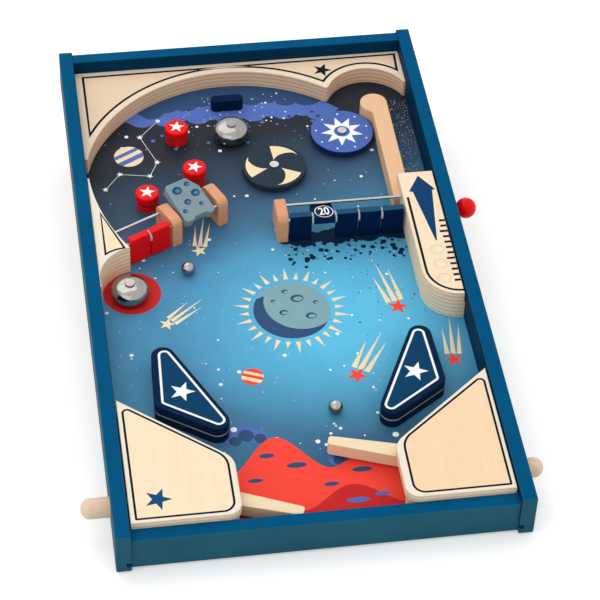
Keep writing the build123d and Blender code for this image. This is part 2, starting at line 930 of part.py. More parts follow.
def build_slingshot(side, name):
    """A slingshot block with the groove that its elastic band lies in."""
    with BuildPart() as block:
        with BuildSketch(level(0)):
            add(slingshot_outline(side, 0))
        extrude(amount=slingshot_height)
        fillet(top_edges(block), deck_round)
        with BuildSketch(level(band_groove_bottom)):
            add(slingshot_outline(side, 0))
            add(slingshot_outline(side, band_groove_depth), mode=Mode.SUBTRACT)
        extrude(amount=band_groove_width, mode=Mode.SUBTRACT)
        pilot_holes(mirrored(slingshot_screws, side))
    finish(block.part, name)

    with BuildPart() as band:
        with BuildSketch(level(band_groove_bottom + band_clearance)):
            add(slingshot_outline(side, band_clearance))
            add(slingshot_outline(side, band_groove_depth), mode=Mode.SUBTRACT)
        extrude(amount=band_groove_width - 2 * band_clearance)
    finish(band.part, f"{name}_band")


def build_bumpers():
    """Three turned bumpers and the elastic rings round their necks."""
    for index, place in enumerate(bumper_places, start=1):
        with BuildPart() as bumper:
            with BuildSketch(level(0)):
                with Locations(place):
                    Circle(bumper_foot_radius)
            extrude(amount=bumper_foot_height)
            with BuildSketch(level(bumper_foot_height)):
                with Locations(place):
                    Circle(bumper_neck_radius)
            extrude(amount=bumper_neck_height)
            with BuildSketch(level(bumper_foot_height + bumper_neck_height)):
                with Locations(place):
                    Circle(bumper_radius)
            extrude(amount=bumper_head_height)
            fillet(top_edges(bumper), bumper_round)
            pilot_holes([place])
        finish(bumper.part, f"bumper_{index}")

    with BuildPart() as rings:
        with BuildSketch(level(bumper_foot_height + band_clearance)):
            with Locations(*bumper_places):
                Circle(bumper_foot_radius - band_clearance)
                Circle(bumper_neck_radius, mode=Mode.SUBTRACT)
        extrude(amount=bumper_neck_height - 2 * band_clearance)
    finish(rings.part, "bumper_rings")


def dome_profile(wall):
    """Half the section of a bell, drawn in by the wall, for turning about its axis."""
    top = bell_height - wall
    crown = bell_crown_radius - wall
    shoulder = bell_neck_radius - bell_crown_radius
    half_turn = shoulder * cos(radians(45))
    with BuildLine() as line:
        Polyline((0, 0), (bell_radius - wall, 0), (crown + shoulder, top - shoulder))
        ThreePointArc(
            (crown + shoulder, top - shoulder),
            (crown + half_turn, top - shoulder + half_turn),
            (crown, top),
        )
        Polyline((crown, top), (0, top), (0, 0))
    return line.line


def bell_section(place, height):
    """An upright plane through a bell's axis."""
    return Plane(origin=on_board(*place, height), x_dir=board.x_dir, z_dir=-board.y_dir)


def build_bell(place, name):
    """A thin nickel-plated gong, open below."""
    with BuildPart() as gong:
        with BuildSketch(bell_section(place, bell_bottom)):
            with BuildLine():
                add(dome_profile(0))
            make_face()
            with BuildLine():
                add(dome_profile(bell_wall))
            make_face(mode=Mode.SUBTRACT)
            with Locations((0, 0)):
                Rectangle(
                    bell_screw_radius,
                    2 * bell_height,
                    align=(Align.MIN, Align.CENTER),
                    mode=Mode.SUBTRACT,
                )
        axis_line = Axis(on_board(*place, 0), board.z_dir)
        revolve(axis=axis_line)
    finish(gong.part, name)


def build_bell_screws():
    """The domed screws and shoulders that hold the bells up."""
    places = (upper_bell_place, lower_bell_place)
    crown = bell_bottom + bell_height
    with BuildPart() as screws:
        with BuildSketch(level(-board_thickness)):
            with Locations(*places):
                Circle(bell_screw_radius)
        extrude(amount=board_thickness + crown)
        with BuildSketch(level(0)):
            with Locations(*places):
                Circle(bell_shoulder_radius)
        extrude(amount=crown - bell_wall)
        with BuildSketch(level(crown)):
            with Locations(*places):
                Circle(bell_head_radius)
        extrude(amount=bell_head_height)
        rims = screws.edges().filter_by(GeomType.CIRCLE).sort_by(up)
        fillet(rims[-len(places) :], bell_head_round)
    finish(screws.part, "bell_screws")


def build_discs():
    """The two spinning discs, with the pins and spacers that carry them."""
    places = (left_disc_place, right_disc_place)
    for place, name in zip(places, ("left_spinner_disc", "right_spinner_disc")):
        with BuildPart() as disc:
            with BuildSketch(level(disc_bottom)):
                with Locations(place):
                    Circle(disc_radius)
            extrude(amount=disc_thickness)
            fillet(disc.edges().filter_by(GeomType.CIRCLE), disc_round)
            with BuildSketch(level(disc_bottom)):
                with Locations(place):
                    Circle(disc_pin_radius + disc_pin_fit)
            extrude(amount=disc_thickness, mode=Mode.SUBTRACT)
        finish(disc.part, name)

    disc_top = disc_bottom + disc_thickness
    with BuildPart() as pins:
        with BuildSketch(level(-board_thickness)):
            with Locations(*places):
                Circle(disc_pin_radius)
        extrude(amount=board_thickness + disc_top + running_gap)
        with BuildSketch(level(0)):
            with Locations(*places):
                Circle(disc_spacer_radius)
        extrude(amount=disc_bottom - running_gap)
        with BuildSketch(level(disc_top + running_gap)):
            with Locations(*places):
                Circle(disc_pin_head_radius)
        extrude(amount=disc_pin_head_height)
    finish(pins.part, "spinner_pins")


def build_stop_block():
    """The rounded block behind the upper bell."""
    with BuildPart() as block:
        with BuildSketch(level(0)):
            with Locations(stop_block_place):
                SlotOverall(stop_block_length, stop_block_depth)
        extrude(amount=stop_block_height)
        fillet(top_edges(block), deck_round)
        pilot_holes(stop_block_screws)
    finish(block.part, "back_stop_block")


def build_post(row, start, name):
    """A beech post with rounded shoulders, bored for the axle and the stop rod."""
    with BuildPart() as post:
        with BuildSketch(row_section(row, start, 0, 0)) as outline:
            Rectangle(post_depth, high_deck_height, align=(Align.MIN, Align.MIN))
            fillet(outline.vertices().group_by(Axis.Y)[-1], post_top_round)
        extrude(amount=post_thickness)
        ends = post.faces().filter_by(Axis(row.origin, row.x_dir))
        fillet(ends.edges(), post_round)
        for setback in (axle_setback, stop_rod_setback):
            bore(row_section(row, start, setback, axle_height), axle_radius, post_thickness)
        pilot_holes([post_screw(row, start + post_inset)])
    finish(post.part, name)


def build_rods(row, start, end, stop_start, stop_end, name):
    """A row's axle and the stop rod behind it."""
    with BuildPart() as rods:
        for setback, first, last in (
            (axle_setback, start, end),
            (stop_rod_setback, stop_start, stop_end),
        ):
            with BuildSketch(row_section(row, first, setback, axle_height)):
                Circle(axle_radius)
            extrude(amount=last - first)
    finish(rods.part, name)


def target_section(row, along, turn):
    """A target's own section at its axle, turned back by an angle."""
    return turned(row_section(row, along, axle_setback, axle_height), 0, turn)


def build_target(row, along, turn, name):
    """A hanging target plate on its axle."""
    below = axle_height - target_bottom
    above = high_deck_height - axle_height
    with BuildPart() as plate:
        with BuildSketch(target_section(row, along, turn)):
            with Locations((0, (above - below) / 2)):
                RectangleRounded(target_thickness, target_height, target_round)
            Circle(axle_radius + axle_fit, mode=Mode.SUBTRACT)
        extrude(amount=target_width)
    finish(plate.part, name)


def build_targets():
    """The navy row of five, with one tipped back, and the red row of two."""
    for index in range(target_count):
        along = washer_thickness + side_clearance + index * target_pitch
        turn = tip_angle if index + 1 == tipped_target else 0
        build_target(navy_row, along, turn, f"navy_target_{index + 1}")
    for index in range(red_target_count):
        along = red_target_start + side_clearance + index * target_pitch
        build_target(red_row, along, 0, f"red_target_{index + 1}")


def build_washers():
    """The washers that keep neighbouring targets apart on their axles."""
    navy_starts = [index * target_pitch for index in range(1, target_count)]
    first_red = red_target_start - washer_thickness
    red_starts = [first_red + index * target_pitch for index in range(1, red_target_count)]
    with BuildPart() as washers:
        for row, starts in ((navy_row, navy_starts), (red_row, red_starts)):
            for start in starts:
                with BuildSketch(row_section(row, start, axle_setback, axle_height)):
                    Circle(washer_radius)
                    Circle(axle_radius, mode=Mode.SUBTRACT)
                extrude(amount=washer_thickness)
    finish(washers.part, "target_washers")


def gate_outline():
    """The swinging target's outline about its axle, with two lobes along the front."""
    lip = gate_notch - gate_front
    with BuildSketch() as outline:
        with BuildLine():
            Polyline(
                (-gate_left, lip),
                (gate_notch - gate_left, -gate_front),
                (gate_notch + gate_left_lobe - gate_left, -gate_front),
                (2 * gate_notch + gate_left_lobe - gate_left, lip),
                (gate_right - gate_right_lobe - 2 * gate_notch, lip),
                (gate_right - gate_right_lobe - gate_notch, -gate_front),
                (gate_right - gate_notch, -gate_front),
                (gate_right, lip),
                (gate_right - gate_notch / 2, gate_shoulder),
                (gate_back_right, gate_length),
                (gate_notch - gate_left, gate_length),
                (-gate_left, gate_length - gate_notch),
                close=True,
            )
        make_face()
        fillet(outline.vertices(), gate_round)
    return outline.sketch


def build_gate():
    """The swinging plate over the passage, leaning back on the stop rod."""
    middle = red_row_end + post_thickness + gate_gap / 2
    axle_point = red_row.from_local_coords(Vector(middle, axle_setback, axle_height))
    flat = Plane(origin=axle_point, x_dir=red_row.x_dir, z_dir=red_row.z_dir)
    lying = turned(flat, gate_rest, 0)
    with BuildPart() as gate:
        with BuildSketch(lying.offset(-gate_thickness / 2)):
            add(gate_outline())
        extrude(amount=gate_thickness)
        fillet(gate.faces().filter_by(lying).edges(), deck_round)
        axle_bore = row_section(red_row, middle, axle_setback, axle_height)
        bore(axle_bore, axle_radius + axle_fit, gate_gap, both=True)
    finish(gate.part, "swing_target")


def build_balls():
    """The steel balls, where they lie on the board."""
    for index, (x, y) in enumerate(ball_places, start=1):
        with BuildPart() as ball:
            with Locations(on_board(x, y, ball_radius + ball_gap)):
                Sphere(ball_radius)
        finish(ball.part, f"ball_{index}")


def leg_foot(y):
    """The height above the board's plane at which a leg meets its pad."""
    return (pad_thickness - board_origin[2] - y * sin(tilt)) / cos(tilt)


def build_legs_and_pads():
    """The rear legs, square to the board and sawn level, and the rubber pads."""
    leg_x = inner_x - leg_width / 2
    leg_y = back_inner_y - leg_depth / 2
    for side, name in ((-1, "left_rear_leg"), (1, "right_rear_leg")):
        with BuildPart() as leg:
            with BuildSketch(level(-board_thickness)):
                with Locations((side * leg_x, leg_y)):
                    RectangleRounded(leg_width, leg_depth, leg_round)
            extrude(amount=leg_foot(end_y))
            split(bisect_by=Plane.XY.offset(pad_thickness), keep=Keep.TOP)
        finish(leg.part, name)

    with BuildPart() as pads:
        for side in (-1, 1):
            foot = on_board(side * leg_x, leg_y, leg_foot(leg_y))
            with BuildSketch():
                with Locations((foot.X, foot.Y)):
                    Circle(rear_pad_radius)
            extrude(amount=pad_thickness)
        for side in (-1, 1):
            spot = on_board(side * rail_middle_x, front_pad_inset - end_y, rail_bottom)
            with BuildSketch():
                with Locations((spot.X, spot.Y)):
                    Circle(front_pad_radius)
            extrude(amount=2 * front_pad_inset)
        split(bisect_by=level(rail_bottom), keep=Keep.BOTTOM)
    finish(pads.part, "rubber_pads")


def build_fixing_screws():
    """The screws that hold the wooden pieces down, driven up through the board."""
    with BuildPart() as screws:
        with BuildSketch(level(-board_thickness)):
            with Locations(*all_screws):
                Circle(screw_head_radius)
        extrude(amount=screw_head_height)
        with BuildSketch(level(-board_thickness)):
            with Locations(*all_screws):
                Circle(screw_radius)
        extrude(amount=board_thickness + screw_reach)
    finish(screws.part, "fixing_screws")


build_side_rail(-1, "left_side_rail")
build_side_rail(1, "right_side_rail")
build_end_rail(front_face_y, front_rail_top, "front_rail")
build_end_rail(-front_face_y, back_rail_top, "back_rail")
build_board()
build_back_deck()
build_side_deck()
build_divider()
build_start_body()
build_start_cover()
for side, hand in ((-1, "left"), (1, "right")):
    build_deck_base(side, f"{hand}_deck_base")
    build_flipper_deck(side, f"{hand}_flipper_deck")
    build_flipper(side, f"{hand}_flipper")
    build_crank_pin(side, f"{hand}_crank_pin")
    build_push_rod(side, f"{hand}_push_rod")
    build_slingshot(side, f"{hand}_slingshot")
build_pivot_pins()
build_launcher()
build_launcher_spring()
build_bumpers()
build_bell(upper_bell_place, "upper_bell")
build_bell(lower_bell_place, "lower_bell")
build_bell_screws()
build_discs()
build_stop_block()
build_post(navy_row, -post_thickness, "navy_row_post")
build_post(red_row, red_row_end, "red_row_post")
build_post(red_row, red_row_end + post_thickness + gate_gap, "gate_post")
navy_end = row_gap + rod_seat
red_end = red_row_end + 2 * post_thickness + gate_gap
build_rods(navy_row, -post_thickness, navy_end, -post_thickness, navy_end, "navy_row_rods")
build_rods(red_row, -red_axle_lead, red_end, -red_stop_lead, red_end, "red_row_rods")
build_washers()
build_targets()
build_gate()
build_balls()
build_legs_and_pads()
build_fixing_screws()
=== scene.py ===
"""Finishes, printed artwork, camera and light for the tabletop pinball game.

Everything is placed on the playfield's plane, as the wooden case is: X to the right,
Y up the slope and height above the printed board, in millimetres. The board matrix
turns such a place into Blender's metres.
"""
import random
from math import asin, atan2, cos, degrees, hypot, pi, radians, sin, sqrt

import bmesh
import bpy
from bpy.props import FloatProperty, FloatVectorProperty, IntProperty, PointerProperty
from mathutils import Euler, Matrix, Vector
from mathutils.geometry import tessellate_polygon


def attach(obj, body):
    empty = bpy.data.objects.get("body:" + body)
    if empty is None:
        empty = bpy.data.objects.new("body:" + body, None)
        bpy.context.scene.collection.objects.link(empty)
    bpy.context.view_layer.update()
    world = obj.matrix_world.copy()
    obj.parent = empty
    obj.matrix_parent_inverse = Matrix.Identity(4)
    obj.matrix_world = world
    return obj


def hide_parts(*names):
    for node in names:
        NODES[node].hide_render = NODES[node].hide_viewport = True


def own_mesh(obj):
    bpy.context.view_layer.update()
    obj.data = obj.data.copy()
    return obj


bl_info = {
    "name": "Tabletop pinball game",
    "version": (1, 0, 0),
    "blender": (4, 5, 0),
    "location": "3D View > Sidebar > Pinball",
    "description": "Finishes and printed artwork for a wooden tabletop pinball game",
    "category": "Object",
}

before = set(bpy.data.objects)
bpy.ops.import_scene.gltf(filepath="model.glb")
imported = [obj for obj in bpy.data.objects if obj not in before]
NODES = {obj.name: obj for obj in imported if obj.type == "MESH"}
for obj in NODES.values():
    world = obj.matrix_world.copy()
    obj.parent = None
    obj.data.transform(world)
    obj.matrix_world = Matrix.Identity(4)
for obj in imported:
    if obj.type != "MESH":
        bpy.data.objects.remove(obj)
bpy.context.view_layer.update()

MM = 0.001
BOARD_TILT = radians(6)
BOARD_ORIGIN = Vector((0.0007375, 0.0010453, 0.0402127))
BOARD_UP = Vector((0, -sin(BOARD_TILT), cos(BOARD_TILT)))
BOARD = Matrix.Translation(BOARD_ORIGIN) @ Matrix.Rotation(BOARD_TILT, 4, "X") @ Matrix.Scale(MM, 4)

# Heights of the faces that are printed, above the board's own face
LOW_DECK_TOP = 17
HIGH_DECK_TOP = 28
SLINGSHOT_TOP = 17
BUMPER_TOP = 15.4
DISC_TOP = 8

# How far each layer of ink stands above what is under it
INK = 0.03

# How far the plain stars are turned from straight up, in radians
STAR_LEAN = -0.414


def from_screen(red, green, blue):
    """A colour as a screen shows it, 0 to 255, turned into Blender's linear values."""
    def linear(level):
        value = level / 255
        return value / 12.92 if value <= 0.04045 else ((value + 0.055) / 1.055) ** 2.4
    return (linear(red), linear(green), linear(blue))


def colour(name, description, red, green, blue):
    """A colour that the user can change."""
    return FloatVectorProperty(
        name=name, description=description, subtype="COLOR", size=3, min=0, max=1,
        default=from_screen(red, green, blue),
    )


def length(name, description, millimetres):
    """A printed size that the user can change."""
    return FloatProperty(
        name=name, description=description, subtype="DISTANCE", unit="LENGTH", min=0,
        default=millimetres * MM,
    )


class PinballPaints(bpy.types.PropertyGroup):
    """Colours of paint and wood."""
    # The rails' side colours are painted light: a greyer painted reflection down the outer sides, a darker
    # painted shade on the inner faces.
    rail: colour("Rail tops", "Paint on top of the case's rails", 0, 86, 130)
    rail_side_sheen: colour("Rail side sheen", "Greyer colour down the rails' outer sides, a painted reflection of the bright floor", 40, 96, 115)
    rail_inner_shade: colour("Rail inside shade", "Painted shade on the rails' inner faces", 5, 54, 86)
    navy: colour("Navy", "Paint on the navy row and the stop block", 3, 32, 70)
    # The lighter colour on the navy targets' tops is a painted sheen where they face the sky.
    navy_top_sheen: colour("Navy top sheen", "Painted sheen of the sky on top of the navy targets", 34, 84, 114)
    red: colour("Red", "Paint on the bumpers, the red row and the knob", 250, 10, 12)
    slate: colour("Slate", "Paint on the swinging target", 140, 160, 168)
    slingshot_side: colour("Slingshot sides", "Paint on the slingshots", 8, 38, 70)
    disc_slate: colour("Slate disc", "Paint on the left spinning disc", 46, 60, 72)
    disc_blue: colour("Blue disc", "Paint on top of the right spinning disc", 84, 112, 186)
    disc_edge: colour("Blue disc edge", "Paint round the edge of the right spinning disc", 26, 44, 104)
    birch: colour("Birch", "Face of the start body's plywood", 250, 229, 198)
    border: colour("Deck borders", "Bare plywood outside the decks' lines", 243, 234, 216)
    # The back deck's colours are darker and pinker than the front decks'; the darkening is painted shade
    # against the strong light falling at the back.
    back_border: colour("Back deck border", "Bare plywood round the back deck's line", 240, 222, 198)
    left_panel: colour("Left panel", "Varnished plywood inside the left deck's line", 252, 230, 198)
    right_panel: colour("Right panel", "Varnished plywood inside the right deck's line", 252, 219, 182)
    back_panel: colour("Back panel", "Varnished plywood inside the back deck's line", 237, 211, 181)
    cut: colour("Cut plywood", "Pale layers in the plywood's edges", 254, 230, 198)
    layer: colour("Ply layers", "Darker layers in the plywood's edges", 222, 192, 162)
    back_cut: colour("Cut back deck", "Pale layers in the back deck's edges", 246, 210, 176)
    back_layer: colour("Back deck layers", "Darker layers in the back deck's edges", 214, 172, 138)
    beech: colour("Beech", "Legs and the lane's wall", 240, 196, 154)
    post: colour("Post beech", "Redder beech of the posts", 232, 166, 128)
    pale_beech: colour("Pale beech", "Flippers", 248, 229, 192)
    rod: colour("Rod beech", "Push rods, striker and stem", 240, 212, 184)


class PinballPrint(bpy.types.PropertyGroup):
    """Colours and sizes of the printed artwork."""
    night: colour("Night", "Sky at the top of the board", 38, 43, 52)
    dusk: colour("Dusk", "Sky behind the spinning discs", 58, 90, 120)
    day: colour("Day", "Sky in the middle of the board", 76, 144, 184)
    glow: colour("Glow", "Brightest part of the sky", 96, 196, 234)
    deep: colour("Deep", "Sky above the hills", 54, 100, 132)
    hill: colour("Hills", "Red hills at the front", 254, 76, 62)
    near_hill: colour("Near hill", "Darker red of the nearest hill and the bell's spot", 206, 44, 44)
    cloud: colour("Clouds", "Periwinkle clouds", 88, 116, 192)
    shade: colour("Shades", "Slate shadows on the clouds, the moon and the hills", 52, 82, 122)
    speck: colour("Specks", "Dark specks over the sky", 18, 42, 72)
    moon: colour("Moon", "Face of the moon", 132, 172, 180)
    cream: colour("Cream", "Cream shapes", 250, 226, 184)
    slingshot: colour("Slingshots", "Blue inside the slingshots' white line", 2, 62, 100)
    line: colour("Lines", "Dark lines on bare wood", 12, 24, 42)
    arrow: colour("Arrow", "Arrow on the start cover", 10, 62, 108)
    # The dimple rims' colour is painted shade round the ball rests.
    rim_shade: colour("Dimple rims", "Painted shade round the rims of the three ball rests", 226, 196, 160)
    deck_star: colour("Deck star", "Star on the left front deck", 8, 78, 122)
    spot: colour("Spots", "Spots on the swinging target", 30, 80, 130)
    spot_floor: colour("Spot middles", "Pale middles of those spots", 98, 128, 150)
    star: colour("Stars", "White stars and lines", 246, 248, 250)
    board_back: colour("Board back", "Bare hardboard under the playfield", 150, 106, 70)
    board_fleck: colour("Board flecks", "Paler fibres in the bare hardboard", 182, 140, 102)
    line_width: length("Line width", "Width of the lines on bare wood", 1.8)
    star_dots: IntProperty(name="Star dots", description="White dots over the sky", default=240, min=0)


class PinballStage(bpy.types.PropertyGroup):
    """Camera and light."""
    lens: FloatProperty(name="Lens", description="Focal length of the camera in millimetres", default=142.21)
    key_power: FloatProperty(name="Key light", description="Power of the overhead light", default=7.5, min=0)
    world_level: FloatProperty(name="World", description="Level of the light overhead", default=0.93, min=0)


def settings():
    scene = bpy.context.scene
    return scene.pinball_paints, scene.pinball_print, scene.pinball_stage


def opaque(rgb):
    return (rgb[0], rgb[1], rgb[2], 1)


# Shader building

BEVEL_SAMPLES = 6

# Where a Mix node keeps its first value, its second value and its result
MIX_SOCKETS = {"FLOAT": (2, 3, 0), "VECTOR": (4, 5, 1), "RGBA": (6, 7, 2)}

# What every shared effect puts out
EFFECT_OUTPUTS = {"Color": "NodeSocketColor", "Roughness": "NodeSocketFloat", "Height": "NodeSocketFloat"}


def put(tree, kind, options=None, **sockets):
    """Add a node, set its options and fill or link its inputs by name."""
    node = tree.nodes.new(kind)
    for name, value in (options or {}).items():
        setattr(node, name, value)
    for name, value in sockets.items():
        fill(tree, node.inputs[name.replace("_", " ")], value)
    return node


def fill(tree, socket, value):
    if isinstance(value, bpy.types.NodeSocket):
        tree.links.new(value, socket)
    else:
        socket.default_value = value


def maths(tree, operation, *values, clamp=False):
    """A Math node's output for up to three values or sockets."""
    node = put(tree, "ShaderNodeMath", {"operation": operation, "use_clamp": clamp})
    for socket, value in zip(node.inputs, values):
        fill(tree, socket, value)
    return node.outputs[0]


def plus(tree, first, second):
    return maths(tree, "ADD", first, second)


def minus(tree, first, second):
    return maths(tree, "SUBTRACT", first, second)


def times(tree, first, second):
    return maths(tree, "MULTIPLY", first, second)


def centred(tree, value, width):
    """A value from 0 to 1, turned into one that lies about 0 and is this wide."""
    return times(tree, minus(tree, value, 0.5), width)


def mix(tree, kind, factor, first, second, mode="MIX"):
    """A Mix node's output: the first value at factor 0 and the second at 1."""
    node = put(tree, "ShaderNodeMix", {"data_type": kind, "blend_type": mode})
    start, end, result = MIX_SOCKETS[kind]
    fill(tree, node.inputs[0], factor)
    fill(tree, node.inputs[start], first)
    fill(tree, node.inputs[end], second)
    return node.outputs[result]


def blend_colours(tree, factor, first, second):
    return mix(tree, "RGBA", factor, first, second)


def darkened(tree, rgb, shares):
    """A colour with the given share of its red, green and blue left."""
    return mix(tree, "RGBA", 1.0, rgb, opaque(shares), "MULTIPLY")


def spread(tree, value, low, high, new_low=0.0, new_high=1.0):
    """A Map Range node's output."""
    node = put(tree, "ShaderNodeMapRange")
    for socket, entry in zip(node.inputs, (value, low, high, new_low, new_high)):
        fill(tree, socket, entry)
    return node.outputs[0]


def join_vectors(tree, operation, first, second):
    """A Vector Math node for two vectors."""
    node = put(tree, "ShaderNodeVectorMath", {"operation": operation})
    fill(tree, node.inputs[0], first)
    fill(tree, node.inputs[1], second)
    return node


def dot(tree, first, second):
    return join_vectors(tree, "DOT_PRODUCT", first, second).outputs["Value"]


def board_place(tree):
    """Object coordinates turned into the board's own millimetres."""
    place = put(tree, "ShaderNodeTexCoord").outputs["Object"]
    mapping = put(
        tree, "ShaderNodeMapping", {"vector_type": "TEXTURE"}, Vector=place,
        Location=BOARD_ORIGIN, Rotation=(BOARD_TILT, 0, 0), Scale=(MM, MM, MM),
    )
    return mapping.outputs[0]


def axes(tree, vector):
    """The X, Y and Z outputs of a vector."""
    return put(tree, "ShaderNodeSeparateXYZ", Vector=vector).outputs


def noise(tree, place, scale, detail=2.0, roughness=0.5):
    node = put(tree, "ShaderNodeTexNoise", Vector=place, Scale=scale, Detail=detail, Roughness=roughness)
    return node.outputs[0]


def stretched(tree, place, scale):
    """The place with each axis multiplied by its own factor."""
    return put(tree, "ShaderNodeMapping", Vector=place, Scale=scale).outputs[0]


def surface_normal(tree):
    return put(tree, "ShaderNodeNewGeometry").outputs["Normal"]


def own_normal(tree):
    """The normal in the piece's own space, which stays with the piece as it moves."""
    return put(tree, "ShaderNodeTexCoord").outputs["Normal"]


def rounded_normal(tree, radius):
    """The normal that the surface would have with its edges rounded, radius in millimetres."""
    return put(tree, "ShaderNodeBevel", {"samples": BEVEL_SAMPLES}, Radius=radius * MM).outputs[0]


def edge_mask(tree, radius, level):
    """1 along sharp edges and 0 on flat faces."""
    return spread(tree, dot(tree, rounded_normal(tree, radius), surface_normal(tree)), 1.0, level)


def upward_mask(tree, low, high):
    """1 on faces that lie along the board's plane in the rest pose, 0 on upright ones."""
    return spread(tree, dot(tree, own_normal(tree), BOARD_UP), low, high)


# Picks out the rails' inner faces, which are given painted shade.
def inward_shade_mask(tree):
    """1 on upright faces that look in over the playfield, 0 on all others."""
    from_middle = join_vectors(tree, "MULTIPLY", board_place(tree), (1, 1, 0)).outputs[0]
    return spread(tree, dot(tree, from_middle, own_normal(tree)), -60, -120)


# Shared effects


def new_group(name, inputs):
    """A shader node group with its named inputs: the tree and the sockets that they arrive on."""
    tree = bpy.data.node_groups.new(name, "ShaderNodeTree")
    for label, default in inputs.items():
        kind = "NodeSocketColor" if isinstance(default, tuple) else "NodeSocketFloat"
        socket = tree.interface.new_socket(name=label, in_out="INPUT", socket_type=kind)
        socket.default_value = default
    for label, kind in EFFECT_OUTPUTS.items():
        tree.interface.new_socket(name=label, in_out="OUTPUT", socket_type=kind)
    return tree, tree.nodes.new("NodeGroupInput").outputs


def wood_grain_group():
    """Fine streaks along the grain, with a few wider bands and short flecks."""
    tree, given = new_group("Wood grain", {
        "Light": (0.8, 0.6, 0.4, 1), "Dark": (0.6, 0.4, 0.25, 1),
        "Along X": 0.0, "Strength": 0.5, "Fleck": 0.0,
    })
    place = board_place(tree)
    up_the_board = stretched(tree, place, (0.35, 0.012, 0.35))
    over_the_board = stretched(tree, place, (0.012, 0.35, 0.35))
    run = mix(tree, "VECTOR", given["Along X"], up_the_board, over_the_board)
    streaks = noise(tree, run, 3.2, 4, 0.6)
    bands = noise(tree, run, 0.55, 3, 0.55)
    both = plus(tree, times(tree, streaks, 0.55), times(tree, bands, 0.45))
    grain = spread(tree, both, 0.34, 0.68)
    specks = noise(tree, stretched(tree, place, (0.9, 0.28, 0.9)), 1.5, 1, 0.5)
    flecks = times(tree, spread(tree, specks, 0.66, 0.74), given["Fleck"])
    shade = maths(tree, "MAXIMUM", times(tree, grain, given["Strength"]), flecks)
    put(
        tree, "NodeGroupOutput",
        Color=blend_colours(tree, shade, given["Light"], given["Dark"]),
        Roughness=spread(tree, grain, 0, 1, 0.48, 0.6),
        Height=minus(tree, 1, grain),
    )
    return tree


def ply_group():
    """Birch plywood: a grained face, and brown and pale layers wherever it is cut."""
    tree, given = new_group("Plywood", {
        "Face": (0.9, 0.75, 0.55, 1), "Streak": (0.8, 0.62, 0.42, 1), "Layer": (0.4, 0.3, 0.2, 1),
        "Cut": (0.85, 0.7, 0.5, 1), "Layer thickness": 2.8, "Along X": 0.0,
    })
    face = effect(tree, "Wood grain", {
        "Light": given["Face"], "Dark": given["Streak"], "Along X": given["Along X"], "Strength": 0.4,
    })
    place = board_place(tree)
    wander = centred(tree, noise(tree, stretched(tree, place, (0.03, 0.03, 0.2)), 1.0), 1.2)
    lifted = plus(tree, axes(tree, place)["Z"], wander)
    turn = maths(tree, "DIVIDE", lifted, given["Layer thickness"])
    layers = spread(tree, maths(tree, "PINGPONG", turn, 0.5), 0.22, 0.44)
    fibres = noise(tree, stretched(tree, place, (0.5, 0.5, 3.0)), 1.6, 3, 0.6)
    layer_shade = times(tree, layers, spread(tree, fibres, 0.3, 0.7, 0.55, 1.0))
    cut = blend_colours(tree, layer_shade, given["Cut"], given["Layer"])
    level = maths(tree, "ABSOLUTE", dot(tree, surface_normal(tree), BOARD_UP))
    flat = spread(tree, level, 0.6, 0.8)
    cut_height = times(tree, minus(tree, 1, layers), 2.0)
    put(
        tree, "NodeGroupOutput",
        Color=blend_colours(tree, flat, cut, face.outputs["Color"]),
        Roughness=spread(tree, flat, 0, 1, 0.72, 0.5),
        Height=mix(tree, "FLOAT", flat, cut_height, face.outputs["Height"]),
    )
    return tree


def paint_group():
    """Sprayed paint over wood, a little uneven, with a second colour on faces that lie along the board, and
    paler along its edges: wear, and on the rails partly a painted highlight.
    """
    tree, given = new_group("Paint", {
        "Paint": (0.1, 0.2, 0.4, 1), "Top": (0.1, 0.2, 0.4, 1), "Worn and lit edge": (0.5, 0.5, 0.5, 1),
        "Edge wear and highlight": 0.3, "Gloss": 0.4,
    })
    place = board_place(tree)
    mottle = noise(tree, place, 0.03, 4, 0.55)
    grain = noise(tree, stretched(tree, place, (0.5, 0.03, 0.5)), 1.2, 3, 0.55)
    skin = noise(tree, place, 0.9, 2, 0.5)
    worn = spread(tree, noise(tree, place, 0.16, 4, 0.65), 0.42, 0.62)
    # Paler along the edges: rubbed wear, and a painted highlight where the amount is raised, as on the rails.
    rub = times(tree, times(tree, edge_mask(tree, 0.5, 0.9), worn), given["Edge wear and highlight"])
    # A second colour on faces that lie along the board: on the navy targets a painted sheen of the sky; on
    # the rails the true top paint, over painted reflection and shade on the sides.
    coat = blend_colours(tree, upward_mask(tree, 0.86, 0.94), given["Paint"], given["Top"])
    darker = darkened(tree, coat, (0.82, 0.84, 0.86))
    uneven = blend_colours(tree, spread(tree, mottle, 0.3, 0.7), coat, darker)
    dull = plus(tree, 0.62, times(tree, mottle, 0.14))
    put(
        tree, "NodeGroupOutput",
        Color=blend_colours(tree, rub, uneven, given["Worn and lit edge"]),
        Roughness=minus(tree, dull, times(tree, given["Gloss"], 0.5)),
        Height=plus(tree, times(tree, skin, 0.6), times(tree, grain, 0.4)),
    )
    return tree


def screen_print_group():
    """Ink on the board, with the fine slanting screen that the print shows."""
    tree, given = new_group("Screen print", {"Ink": (0.1, 0.2, 0.4, 1), "Screen": 0.5})
    place = board_place(tree)
    along = axes(tree, place)
    slant = plus(tree, times(tree, along["X"], 0.8), along["Y"])
    ripple = centred(tree, noise(tree, place, 0.25), 1.6)
    lines = maths(tree, "PINGPONG", plus(tree, slant, ripple), 1.1)
    line = spread(tree, lines, 0.35, 0.9)
    cloudy = spread(tree, noise(tree, place, 0.045, 5, 0.6), 0.35, 0.68)
    amount = times(tree, times(tree, line, cloudy), given["Screen"])
    darker = darkened(tree, given["Ink"], (0.68, 0.72, 0.76))
    put(
        tree, "NodeGroupOutput",
        Color=blend_colours(tree, amount, given["Ink"], darker),
        Roughness=spread(tree, cloudy, 0, 1, 0.42, 0.5),
        Height=line,
    )
    return tree


